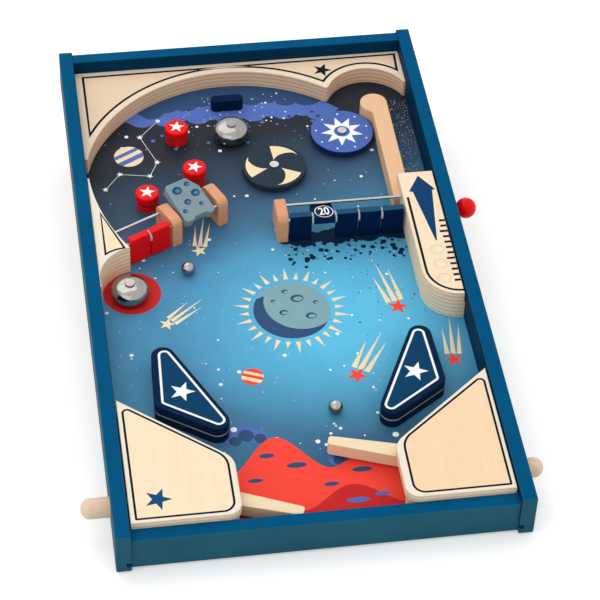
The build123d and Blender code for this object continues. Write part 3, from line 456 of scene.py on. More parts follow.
def metal_group():
    """Metal with fine scratches and cloudy fingering, and its upright sides darkened as a painted dark
    reflection.
    """
    tree, given = new_group("Worked metal", {
        "Metal": (0.8, 0.8, 0.8, 1), "Dull": 0.2, "Scratches": 0.3, "Painted dark sides": 0.0,
    })
    place = board_place(tree)
    scratch = noise(tree, stretched(tree, place, (2.2, 0.12, 1.2)), 1.4, 3, 0.6)
    fingering = noise(tree, place, 0.12, 4, 0.6)
    tarnished = darkened(tree, given["Metal"], (0.80, 0.78, 0.74))
    clean = blend_colours(tree, spread(tree, fingering, 0.35, 0.75), given["Metal"], tarnished)
    # Upright faces are darkened by the given share: a painted dark reflection on the sides.
    upright = minus(tree, 1, upward_mask(tree, 0.2, 0.9))
    side = times(tree, upright, given["Painted dark sides"])
    painted_dark_reflection = darkened(tree, clean, (0.22, 0.21, 0.21))
    rough = plus(tree, given["Dull"], centred(tree, fingering, 0.16))
    scratched = times(tree, spread(tree, scratch, 0.55, 0.7), times(tree, given["Scratches"], 0.2))
    put(
        tree, "NodeGroupOutput",
        Color=blend_colours(tree, side, clean, painted_dark_reflection),
        Roughness=maths(tree, "ADD", rough, scratched, clamp=True),
        Height=scratch,
    )
    return tree


def moulded_group():
    """Rubber, elastic and small plastic parts, with a fine dusty skin."""
    tree, given = new_group("Moulded skin", {"Skin": (0.1, 0.1, 0.1, 1), "Dust": 0.3})
    place = board_place(tree)
    speck = noise(tree, place, 1.8, 3, 0.6)
    patches = spread(tree, noise(tree, place, 0.2, 4, 0.6), 0.45, 0.7)
    dust = times(tree, patches, given["Dust"])
    put(
        tree, "NodeGroupOutput",
        Color=blend_colours(tree, dust, given["Skin"], (0.45, 0.44, 0.42, 1)),
        Roughness=spread(tree, speck, 0.2, 0.8, 0.6, 0.8),
        Height=speck,
    )
    return tree


EFFECTS = {
    "Wood grain": wood_grain_group,
    "Plywood": ply_group,
    "Paint": paint_group,
    "Screen print": screen_print_group,
    "Worked metal": metal_group,
    "Moulded skin": moulded_group,
}


def effect(tree, name, values):
    """Place a shared effect with its own values. It is built the first time it is asked for."""
    shared = bpy.data.node_groups.get(name) or EFFECTS[name]()
    node = put(tree, "ShaderNodeGroup", {"node_tree": shared})
    for label, value in values.items():
        fill(tree, node.inputs[label], value)
    return node


# Finishes, with depths and edge radii in millimetres

EDGE_ROUND = 0.8
PAINTED_EDGE_ROUND = 0.7
LAYER_THICKNESS = 4.2


def new_surface(name):
    """A new material, its node tree and its shader."""
    material = bpy.data.materials.new(name)
    material.use_nodes = True
    tree = material.node_tree
    return material, tree, tree.nodes["Principled BSDF"]


def cover(tree, shader, look, depth, rgb=None, round_edges=0.0):
    """Give a shader an effect's colour, or another in its place, its roughness and its relief."""
    relief = put(tree, "ShaderNodeBump", Height=look.outputs["Height"], Strength=1.0, Distance=depth * MM)
    if round_edges:
        fill(tree, relief.inputs["Normal"], rounded_normal(tree, round_edges))
    fill(tree, shader.inputs["Base Color"], rgb or look.outputs["Color"])
    fill(tree, shader.inputs["Roughness"], look.outputs["Roughness"])
    fill(tree, shader.inputs["Normal"], relief.outputs[0])


def finish_from(shared, name, values, depth, round_edges=0.0, **surface):
    """A material that takes its colour, roughness and relief from a shared effect."""
    known = bpy.data.materials.get(name)
    if known:
        return known
    material, tree, shader = new_surface(name)
    for label, value in surface.items():
        shader.inputs[label.replace("_", " ")].default_value = value
    cover(tree, shader, effect(tree, shared, values), depth, round_edges=round_edges)
    return material


def painted(name, rgb, rub=0.25, gloss=0.4, shine=0.05, top=None):
    """Painted wood. Matt paint has little shine, so its colour shows as written."""
    # The pale edge colour: worn paint, and on the rails partly a painted highlight.
    pale = tuple(0.6 * level + 0.12 for level in rgb)
    values = {
        "Paint": opaque(rgb), "Top": opaque(top or rgb), "Worn and lit edge": opaque(pale),
        "Edge wear and highlight": rub, "Gloss": gloss,
    }
    return finish_from("Paint", name, values, 0.02, PAINTED_EDGE_ROUND, Specular_IOR_Level=shine)


def ink(name, rgb, screen=0.25):
    return finish_from(
        "Screen print", name, {"Ink": opaque(rgb), "Screen": screen}, 0.01, Specular_IOR_Level=0.05,
    )


def shaded(rgb, shares):
    return opaque(tuple(level * share for level, share in zip(rgb, shares)))


def streak(rgb):
    """The darker grain of birch of this colour."""
    return shaded(rgb, (0.92, 0.86, 0.79))


def beech(name, rgb, along_x, strength=0.45, fleck=0.5):
    values = {
        "Light": opaque(rgb), "Dark": shaded(rgb, (0.78, 0.68, 0.58)),
        "Along X": along_x, "Strength": strength, "Fleck": fleck,
    }
    return finish_from("Wood grain", name, values, 0.02, EDGE_ROUND, Specular_IOR_Level=0.2)


def plywood(name, face, cut, layer, along_x):
    values = {
        "Face": opaque(face), "Streak": streak(face), "Cut": opaque(cut), "Layer": opaque(layer),
        "Layer thickness": LAYER_THICKNESS, "Along X": along_x,
    }
    return finish_from("Plywood", name, values, 0.03, EDGE_ROUND, Specular_IOR_Level=0.1)


def panel_wood(name, face, along_x):
    """The varnished birch inside a deck's line."""
    values = {
        "Light": opaque(face), "Dark": streak(face), "Along X": along_x, "Strength": 0.45, "Fleck": 0.15,
    }
    return finish_from("Wood grain", name, values, 0.02, Specular_IOR_Level=0.1)


def metal(name, rgb, dull, scratches, depth, painted_dark_sides=0.0):
    values = {"Metal": opaque(rgb), "Dull": dull, "Scratches": scratches, "Painted dark sides": painted_dark_sides}
    return finish_from("Worked metal", name, values, depth, Metallic=1.0)


def moulded(name, rgb, dust, depth=0.02):
    return finish_from("Moulded skin", name, {"Skin": opaque(rgb), "Dust": dust}, depth)


def dress(material, *names):
    """Put a material on CAD nodes."""
    for name in names:
        mesh = NODES[name].data
        mesh.materials.clear()
        mesh.materials.append(material)


# Flat shapes

# A line's corner reaches out no further than its half width divided by this
SHARPEST_MITRE = 0.35


def around(x, y, radius, angle):
    """The place on a circle at an angle."""
    return (x + radius * cos(angle), y + radius * sin(angle))


def turned(x, y, across, up, turn):
    """The place that lies across and up from a centre, in a shape that is turned about it."""
    return (x + across * cos(turn) - up * sin(turn), y + across * sin(turn) + up * cos(turn))


def circle(x, y, radius, points=48):
    return [around(x, y, radius, 2 * pi * i / points) for i in range(points)]


def oval(x, y, wide, high, points=40):
    return [
        (x + wide * cos(2 * pi * i / points), y + high * sin(2 * pi * i / points))
        for i in range(points)
    ]


def box(left, right, front, back):
    return [(left, front), (right, front), (right, back), (left, back)]


def star(x, y, radius, turn=0.0, rays=5, depth=0.4):
    """A star with its first ray turned from straight up."""
    shape = []
    for i in range(2 * rays):
        reach = radius * (depth if i % 2 else 1)
        shape.append(around(x, y, reach, pi / 2 + turn + pi * i / rays))
    return shape


def arc(x, y, radius, start, end, points=32):
    """Points along an arc, with its ends in degrees."""
    return [around(x, y, radius, radians(start + (end - start) * i / points)) for i in range(points + 1)]


def turn_of(a, b, c):
    """Above 0 where the way from a over b to c turns left."""
    return (b[0] - a[0]) * (c[1] - a[1]) - (b[1] - a[1]) * (c[0] - a[0])


def hull(circles, inset, points=64):
    """The outline round some circles, each drawn in by an inset."""
    places = sorted(p for x, y, radius in circles for p in circle(x, y, radius - inset, points))
    outline = []
    for run in (places, places[::-1]):
        chain = []
        for p in run:
            while len(chain) > 1 and turn_of(chain[-2], chain[-1], p) <= 0:
                chain.pop()
            chain.append(p)
        outline += chain[:-1]
    return outline


def rounded(corners, radii, points=10):
    """A polygon with its corners rounded."""
    shape = []
    count = len(corners)
    for i, radius in enumerate(radii):
        before, corner, after = (Vector(corners[(i + k) % count]) for k in (-1, 0, 1))
        to_before = (before - corner).normalized()
        to_after = (after - corner).normalized()
        half = to_before.angle(to_after) / 2
        centre = corner + (to_before + to_after).normalized() * radius / sin(half)
        reach = radius * cos(half) / sin(half)
        first = corner + to_before * reach - centre
        last = corner + to_after * reach - centre
        sweep = first.angle_signed(last)
        shape += [turned(*centre, *first, -sweep * k / points) for k in range(points + 1)]
    return shape


def stroke(path, width, closed=True):
    """A line of constant width along a path, as the loops that bound it."""
    sides = ([], [])
    count = len(path)
    for i, point in enumerate(path):
        here = Vector(point)
        before = Vector(path[i - 1]) if closed or i else here
        after = Vector(path[(i + 1) % count]) if closed or i + 1 < count else here
        first = (here - before).normalized() if (here - before).length else (after - here).normalized()
        second = (after - here).normalized() if (after - here).length else first
        mitre = Vector((-(first.y + second.y), first.x + second.x)).normalized()
        lean = max(mitre.dot(Vector((-first.y, first.x))), SHARPEST_MITRE)
        for side, sign in zip(sides, (1, -1)):
            side.append(tuple(here + mitre * sign * width / 2 / lean))
    if closed:
        return [sides[0], sides[1]]
    return [sides[0] + sides[1][::-1]]


# Pieces


def piece_from(name, form, material):
    """Turn a built form into an object of the scene with its material."""
    mesh = bpy.data.meshes.new(name)
    form.to_mesh(mesh)
    form.free()
    mesh.materials.append(material)
    piece = bpy.data.objects.new(name, mesh)
    bpy.context.scene.collection.objects.link(piece)
    return piece


def printed(name, shapes, height, material, body="case", place=BOARD):
    """One flat mesh for a set of shapes, each a list of loops, in a plane's millimetres."""
    form = bmesh.new()
    for loops in shapes:
        corners = [form.verts.new(place @ Vector((x, y, height))) for loop in loops for x, y in loop]
        flat = [[Vector((x, y, 0)) for x, y in loop] for loop in loops]
        for triangle in tessellate_polygon(flat):
            a, b, c = (corners[i] for i in triangle)
            if (a.co - b.co).cross(c.co - b.co).length > 0:
                form.faces.new((a, b, c))
    bmesh.ops.recalc_face_normals(form, faces=form.faces)
    up = place.to_3x3() @ Vector((0, 0, 1))
    for face in form.faces:
        if face.normal.dot(up) < 0:
            face.normal_flip()
    piece = piece_from(name, form, material)
    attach(piece, body)
    return piece


def skin(form, rings):
    """Smooth faces from each ring of corners to the next."""
    for near, far in zip(rings, rings[1:]):
        count = len(near)
        for i in range(count):
            j = (i + 1) % count
            form.faces.new((near[i], near[j], far[j], far[i])).smooth = True


# Case and plain wood


class PINBALL_OT_case(bpy.types.Operator):
    """Paint the rails, with a painted reflection down their outer sides and painted shade on their inner
    faces, and finish the legs and pads under them
    """
    bl_idname = "pinball.case"
    bl_label = "Paint the case"

    def execute(self, context):
        paints, _, _ = settings()
        # Rails: upright outer faces greyer, a painted reflection of the floor; inner faces darker, painted
        # shade. The raised edge rub is partly a painted highlight along the edges.
        rail = painted("Rail paint with painted sheen and shade", paints.rail_side_sheen, rub=0.45, shine=0.02, top=paints.rail)
        tree = rail.node_tree
        look = next(node for node in tree.nodes if node.type == "GROUP")
        sides = blend_colours(tree, inward_shade_mask(tree), opaque(paints.rail_side_sheen), opaque(paints.rail_inner_shade))
        fill(tree, look.inputs["Paint"], sides)
        dress(rail, "left_side_rail", "right_side_rail", "front_rail", "back_rail")
        dress(beech("Beech legs", paints.beech, along_x=0), "left_rear_leg", "right_rear_leg")
        dress(moulded("Pad rubber", (0.02, 0.02, 0.02), 0.35), "rubber_pads")
        return {"FINISHED"}


class PINBALL_OT_plywood(bpy.types.Operator):
    """Give the decks their pale faces and layered edges"""
    bl_idname = "pinball.plywood"
    bl_label = "Finish the plywood"

    def execute(self, context):
        paints, _, _ = settings()
        # The back deck is darker than the front decks: painted shade against the strong light at the back.
        back = plywood("Back deck plywood with painted shade", paints.back_border, paints.back_cut, paints.back_layer, along_x=1)
        dress(back, "back_deck")
        start = plywood("Start plywood", paints.birch, paints.cut, paints.layer, along_x=0)
        dress(start, "start_body", "start_cover")
        decks = plywood("Deck plywood", paints.border, paints.cut, paints.layer, along_x=0)
        dress(decks, "left_side_deck", "left_flipper_deck", "right_flipper_deck")
        dress(decks, "left_deck_base", "right_deck_base")
        return {"FINISHED"}


class PINBALL_OT_beech(bpy.types.Operator):
    """Give the posts, flippers, push rods and lane wall their grain"""
    bl_idname = "pinball.beech"
    bl_label = "Finish the beech"

    def execute(self, context):
        paints, _, _ = settings()
        wall = beech("Lane wall beech", paints.beech, along_x=0, strength=0.3, fleck=0.4)
        dress(wall, "lane_divider")
        post = beech("Post beech", paints.post, along_x=0, strength=0.5, fleck=0.6)
        dress(post, "navy_row_post", "red_row_post", "gate_post")
        pale = beech("Flipper beech", paints.pale_beech, along_x=1, strength=0.35, fleck=0.5)
        dress(pale, "left_flipper", "right_flipper")
        rod = beech("Rod beech", paints.rod, along_x=1, strength=0.3, fleck=0.4)
        dress(rod, "left_push_rod", "right_push_rod", "launcher_striker", "launcher_stem")
        return {"FINISHED"}


class PINBALL_OT_paintwork(bpy.types.Operator):
    """Paint the targets, bumpers, knob, slingshots, stop block and discs"""
    bl_idname = "pinball.paintwork"
    bl_label = "Paint the small pieces"

    def execute(self, context):
        paints, _, _ = settings()
        dress(painted("Navy paint", paints.navy, rub=0.3, shine=0.04), "navy_target_2", "back_stop_block")
        # The hanging navy targets' tops get a painted sheen of the sky; the tipped target and the stop block
        # keep plain navy.
        top_sheened = painted("Navy paint with painted top sheen", paints.navy, rub=0.3, shine=0.04, top=paints.navy_top_sheen)
        dress(top_sheened, *(f"navy_target_{i}" for i in (1, 3, 4, 5)))
        red = painted("Red paint", paints.red, rub=0.08, gloss=0.85, shine=0.14)
        dress(red, "red_target_1", "red_target_2", "bumper_1", "bumper_2", "bumper_3", "launcher_knob")
        dress(painted("Slate paint", paints.slate, rub=0.2), "swing_target")
        slingshot = painted("Slingshot paint", paints.slingshot_side, rub=0.2, shine=0.03)
        dress(slingshot, "left_slingshot", "right_slingshot")
        dress(painted("Disc slate", paints.disc_slate, rub=0.1), "left_spinner_disc")
        periwinkle = painted("Disc periwinkle", paints.disc_edge, rub=0.1, top=paints.disc_blue)
        dress(periwinkle, "right_spinner_disc")
        return {"FINISHED"}


class PINBALL_OT_metal(bpy.types.Operator):
    """Finish the bells, balls, rods, pins and screws"""
    bl_idname = "pinball.metal"
    bl_label = "Finish the metal"

    def execute(self, context):
        plate = metal("Bell plating", (0.41, 0.40, 0.385), dull=0.16, scratches=0.3, depth=0.004)
        dress(plate, "upper_bell", "lower_bell", "bell_screws")
        steel = metal("Turned steel", (0.62, 0.62, 0.62), dull=0.28, scratches=0.6, depth=0.01)
        dress(steel, "spinner_pins", "navy_row_rods", "red_row_rods", "flipper_pivot_pins")
        dress(steel, "left_crank_pin", "right_crank_pin")
        # The balls' sides are darkened: a painted dark reflection round their rims.
        ball = metal("Ball steel", (0.48, 0.47, 0.48), 0.16, scratches=0.15, depth=0.002, painted_dark_sides=0.4)
        dress(ball, "ball_1", "ball_2")
        zinc = metal("Zinc screws", (0.66, 0.65, 0.56), dull=0.4, scratches=0.5, depth=0.01)
        dress(zinc, "fixing_screws")
        return {"FINISHED"}


class PINBALL_OT_elastic(bpy.types.Operator):
    """Finish the elastic bands, rings and washers"""
    bl_idname = "pinball.elastic"
    bl_label = "Finish the elastic and washers"

    def execute(self, context):
        band = moulded("Band elastic", (0.30, 0.29, 0.27), 0.2)
        dress(band, "left_slingshot_band", "right_slingshot_band")
        dress(moulded("Ring elastic", (0.22, 0.01, 0.01), 0.1), "bumper_rings")
        dress(moulded("Washer plastic", (0.46, 0.50, 0.54), 0.1, depth=0.01), "target_washers")
        return {"FINISHED"}


# Bells, with heights above the board and radii in millimetres

BELL_TOP = 16.5
BELL_BELLY = 8.5
BELL_BOTTOM = 3.5
BELL_RADIUS = 15.5
BELL_MOUTH = 15.1
BELL_BORE = 1.6
BELL_WALL = 1.1
DOME_POWER = 0.77
DOME_STEPS = 16
SKIRT_STEPS = 6
BELL_SIDES = 96


def bell_curve(inset):
    """Radius and height of a bell's section, from the bore over the dome to the mouth."""
    reach = BELL_RADIUS - inset
    rise = BELL_TOP - inset - BELL_BELLY
    first = asin((BELL_BORE / reach) ** (1 / DOME_POWER))
    points = []
    for step in range(DOME_STEPS):
        turn = first + (pi / 2 - first) * step / DOME_STEPS
        points.append((reach * sin(turn) ** DOME_POWER, BELL_BELLY + rise * cos(turn) ** DOME_POWER))
    for step in range(SKIRT_STEPS + 1):
        down = step / SKIRT_STEPS
        radius = reach - (BELL_RADIUS - BELL_MOUTH) * down * down
        points.append((radius, BELL_BELLY - (BELL_BELLY - BELL_BOTTOM) * down))
    return points


def board_axis(name):
    """Where the axis of a round CAD piece crosses the board."""
    flat = BOARD.inverted() @ NODES[name].matrix_world
    places = [flat @ vertex.co for vertex in NODES[name].data.vertices]
    return [(min(p[i] for p in places) + max(p[i] for p in places)) / 2 for i in range(2)]


class PINBALL_OT_bells(bpy.types.Operator):
    """Press the two bells as rounded domes that draw in at the mouth"""
    bl_idname = "pinball.bells"
    bl_label = "Press the bells"

    def execute(self, context):
        section = bell_curve(0) + bell_curve(BELL_WALL)[::-1]
        for name in ("upper_bell", "lower_bell"):
            axis = board_axis(name)
            form = bmesh.new()
            rings = []
            for radius, height in section:
                ring = circle(*axis, radius, BELL_SIDES)
                rings.append([form.verts.new(BOARD @ Vector((x, y, height))) for x, y in ring])
            skin(form, rings + rings[:1])
            bmesh.ops.recalc_face_normals(form, faces=form.faces)
            dome = piece_from(name + "_dome", form, NODES["bell_screws"].data.materials[0])
            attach(dome, "case")
            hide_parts(name)
        return {"FINISHED"}


# The launcher's spring: the middle of its front end, and its sizes in millimetres

SPRING_PLACE = (137.15, -45, 8.5)
SPRING_LENGTH = 97
SPRING_RADIUS = 6
SPRING_WIRE = 0.6
SPRING_TURNS = 12
SPRING_STEPS = 32
WIRE_SIDES = 10


class PINBALL_OT_spring(bpy.types.Operator):
    """Wind the launcher's spring as a fixed coil; on the real game it closes up as the knob is pulled"""
    bl_idname = "pinball.spring"
    bl_label = "Wind the spring"

    def execute(self, context):
        front = Vector(SPRING_PLACE)
        steps = SPRING_TURNS * SPRING_STEPS
        first_y = front.y + SPRING_WIRE
        last_y = front.y + SPRING_LENGTH - SPRING_WIRE
        path = []
        for step in range(steps + 1):
            turn = 2 * pi * step / SPRING_STEPS
            x, z = around(front.x, front.z, SPRING_RADIUS, -turn)
            path.append(Vector((x, first_y + (last_y - first_y) * step / steps, z)))
        form = bmesh.new()
        rings = []
        for step, point in enumerate(path):
            along = (path[min(step + 1, steps)] - path[max(step - 1, 0)]).normalized()
            outward = Vector((point.x - front.x, 0, point.z - front.z)).normalized()
            across = along.cross(outward).normalized()
            rings.append([
                form.verts.new(BOARD @ (point + SPRING_WIRE * (aside * outward + over * across)))
                for aside, over in circle(0, 0, 1, WIRE_SIDES)
            ])
        skin(form, rings)
        form.faces.new(rings[0][::-1])
        form.faces.new(rings[-1])
        bmesh.ops.recalc_face_normals(form, faces=form.faces)
        steel = metal("Spring steel", (0.60, 0.60, 0.61), dull=0.3, scratches=0.5, depth=0.006)
        coil = piece_from("coil_spring", form, steel)
        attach(coil, "case")
        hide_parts("launcher_spring")
        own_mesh(coil)
        return {"FINISHED"}


# Printed board

BOARD_FRONT = -264.8

# The arch cut in the back deck and the lane's own arch: X and Y of the centre, and the radius
ARCH = (-12.4, 115, 137.3)
LANE_ARCH = (111.6, 207, 37.5)

# The sky's bands lean with X, wander by this much, and run over these Ys
SKY_LEAN = -0.26
SKY_WANDER = 40.0
SKY_FRONT, SKY_BACK = -265.0, 265.0

# The bright oval in the sky: its middle and how far it reaches along X and Y
GLOW_PLACE = (50.0, -50.0)
GLOW_REACH = (130.0, 110.0)

# The sky's dots stay this far inside the arch, and behind this Y over the hills
ARCH_MARGIN = 2
DOTS_FRONT = -195

# The round spot under the lower bell, and the moon: X, Y and radius
BELL_SPOT = (-121, 0, 24)
MOON = (8, -34, 32)

# Each crater's place from the moon's middle, and its radius
CRATERS = ((6, 13, 5.5), (-7, -2, 3.8), (15, -8, 4.6), (-3, 22, 2.8), (21, 7, 2.6), (-14, 12, 2.2))


def sky_colour(tree, place, prints):
    """The sky's bands from front to back, with the bright oval over them."""
    along = axes(tree, place)
    drift = centred(tree, noise(tree, place, 0.012, 4, 0.55), SKY_WANDER)
    lifted = plus(tree, plus(tree, along["Y"], times(tree, along["X"], SKY_LEAN)), drift)
    ramp = put(tree, "ShaderNodeValToRGB", Fac=spread(tree, lifted, SKY_FRONT, SKY_BACK))
    stops = (
        (0.12, prints.deep), (0.34, prints.day), (0.56, prints.day), (0.7, prints.dusk), (0.84, prints.night),
    )
    elements = ramp.color_ramp.elements
    while len(elements) < len(stops):
        elements.new(0.5)
    for element, (position, rgb) in zip(elements, stops):
        element.position = position
        element.color = opaque(rgb)
    squares = []
    for axis, middle, reach in zip("XY", GLOW_PLACE, GLOW_REACH):
        share = maths(tree, "DIVIDE", minus(tree, along[axis], middle), reach)
        squares.append(times(tree, share, share))
    away = maths(tree, "SQRT", plus(tree, *squares))
    glow = maths(tree, "SMOOTH_MIN", spread(tree, away, 1.15, 0.25), 1.0, 0.1)
    return blend_colours(tree, maths(tree, "MAXIMUM", glow, 0.0), ramp.outputs["Color"], opaque(prints.glow))


def sky_material(prints):
    """Printed sky on the board's upper face, and bare hardboard on its edges and underside."""
    material, tree, shader = new_surface("Printed sky")
    place = board_place(tree)
    look = effect(tree, "Screen print", {"Ink": sky_colour(tree, place, prints), "Screen": 0.5})
    fibres = noise(tree, place, 0.6, 4, 0.65)
    bare = blend_colours(tree, fibres, opaque(prints.board_back), opaque(prints.board_fleck))
    shader.inputs["Specular IOR Level"].default_value = 0.12
    colours = blend_colours(tree, upward_mask(tree, 0.4, 0.6), bare, look.outputs["Color"])
    cover(tree, shader, look, 0.012, colours)
    return material


def scattered(count, seed, area, sizes, inside=None):
    """Small dots at random in an area of the board: left, right, front and back."""
    left, right, front, back = area
    small, large = sizes
    dice = random.Random(seed)
    dots = []
    while len(dots) < count:
        x, y = dice.uniform(left, right), dice.uniform(front, back)
        radius = small + (large - small) * dice.random() ** 3
        if inside is None or inside(x, y):
            dots.append([circle(x, y, radius, 6 + int(6 * radius))])
    return dots


def edge_of(circles, x, side):
    """Y of the outermost circle at a place along X, on the back side (1) or the front (-1)."""
    covering = [(cy, r * r - (x - cx) ** 2) for cx, cy, r in circles if abs(x - cx) <= r + INK]
    heights = [cy + side * sqrt(max(square, 0)) for cy, square in covering]
    return max(heights) if side > 0 else min(heights)


def cloud(circles, points=90):
    """The outline round overlapping circles that stand side by side."""
    left = min(x - r for x, y, r in circles)
    right = max(x + r for x, y, r in circles)
    along = [left + (right - left) * i / points for i in range(points + 1)]
    back = [(x, edge_of(circles, x, 1)) for x in along]
    front = [(x, edge_of(circles, x, -1)) for x in along]
    return back + front[-2:0:-1]


def arch_cloud(lobes, start, end, points=160):
    """A cloud that hangs from the arch: the round lobes' outline between two angles."""
    x, y, radius = ARCH
    inner = []
    for i in range(points + 1):
        angle = start + (end - start) * i / points
        reaches = [radius - INK]
        for middle, depth, lobe in lobes:
            centre = radius - depth + lobe
            aside = centre * sin(radians(angle - middle))
            if abs(aside) < lobe:
                reaches.append(centre * cos(radians(angle - middle)) - sqrt(lobe ** 2 - aside ** 2))
        inner.append(around(x, y, min(reaches), radians(angle)))
    return arc(*ARCH, start, end, points) + inner[::-1]


def burst(x, y, inner, outer, rays, share=0.5):
    """Pointed rays standing round a circle, every other one shorter."""
    spikes = []
    for k in range(rays):
        turn = 2 * pi * k / rays
        half = pi * share / rays
        reach = outer if k % 2 else inner + (outer - inner) * 0.62
        left, right = (around(x, y, inner, turn + side * half) for side in (-1, 1))
        spikes.append([[left, around(x, y, reach, turn), right]])
    return spikes


def striped_ball(x, y, radius, turn):
    """Two curved stripes across a round ball."""
    stripes = []
    for low, high in ((-0.55, -0.15), (0.2, 0.5)):
        side = [(radius * sqrt(1 - v * v), radius * v) for v in (low, (low + high) / 2, high)]
        loop = [(-u, v) for u, v in side] + side[::-1]
        stripes.append([[turned(x, y, u, v, turn) for u, v in loop]])
    return stripes


def star_tail(x, y, size, turn):
    """The three tapered streaks behind a shooting star."""
    back = Vector((sin(turn), cos(turn)))
    aside = Vector((back.y, -back.x))
    half = aside * size * 0.26
    streaks = []
    for offset, reach in ((-0.62, 3.6), (0, 5.2), (0.62, 4.2)):
        start = Vector((x, y)) + aside * size * offset + back * size * 0.75
        end = start + back * size * reach + aside * size * offset * 0.4
        streaks.append([[tuple(start + half), tuple(end), tuple(start - half)]])
    return streaks


def hill_line(base, bumps, left=-74, right=74, points=60):
    """A rolling outline over the front rail. Each bump has its middle, its reach and its height."""
    shape = [(right, BOARD_FRONT), (left, BOARD_FRONT)]
    for i in range(points + 1):
        x = left + (right - left) * i / points
        shares = (min(abs(x - middle) / reach, 1) for middle, reach, _ in bumps)
        rise = sum(bump[2] * cos(share * pi / 2) ** 2 for bump, share in zip(bumps, shares))
        shape.append((x, base + rise))
    return shape


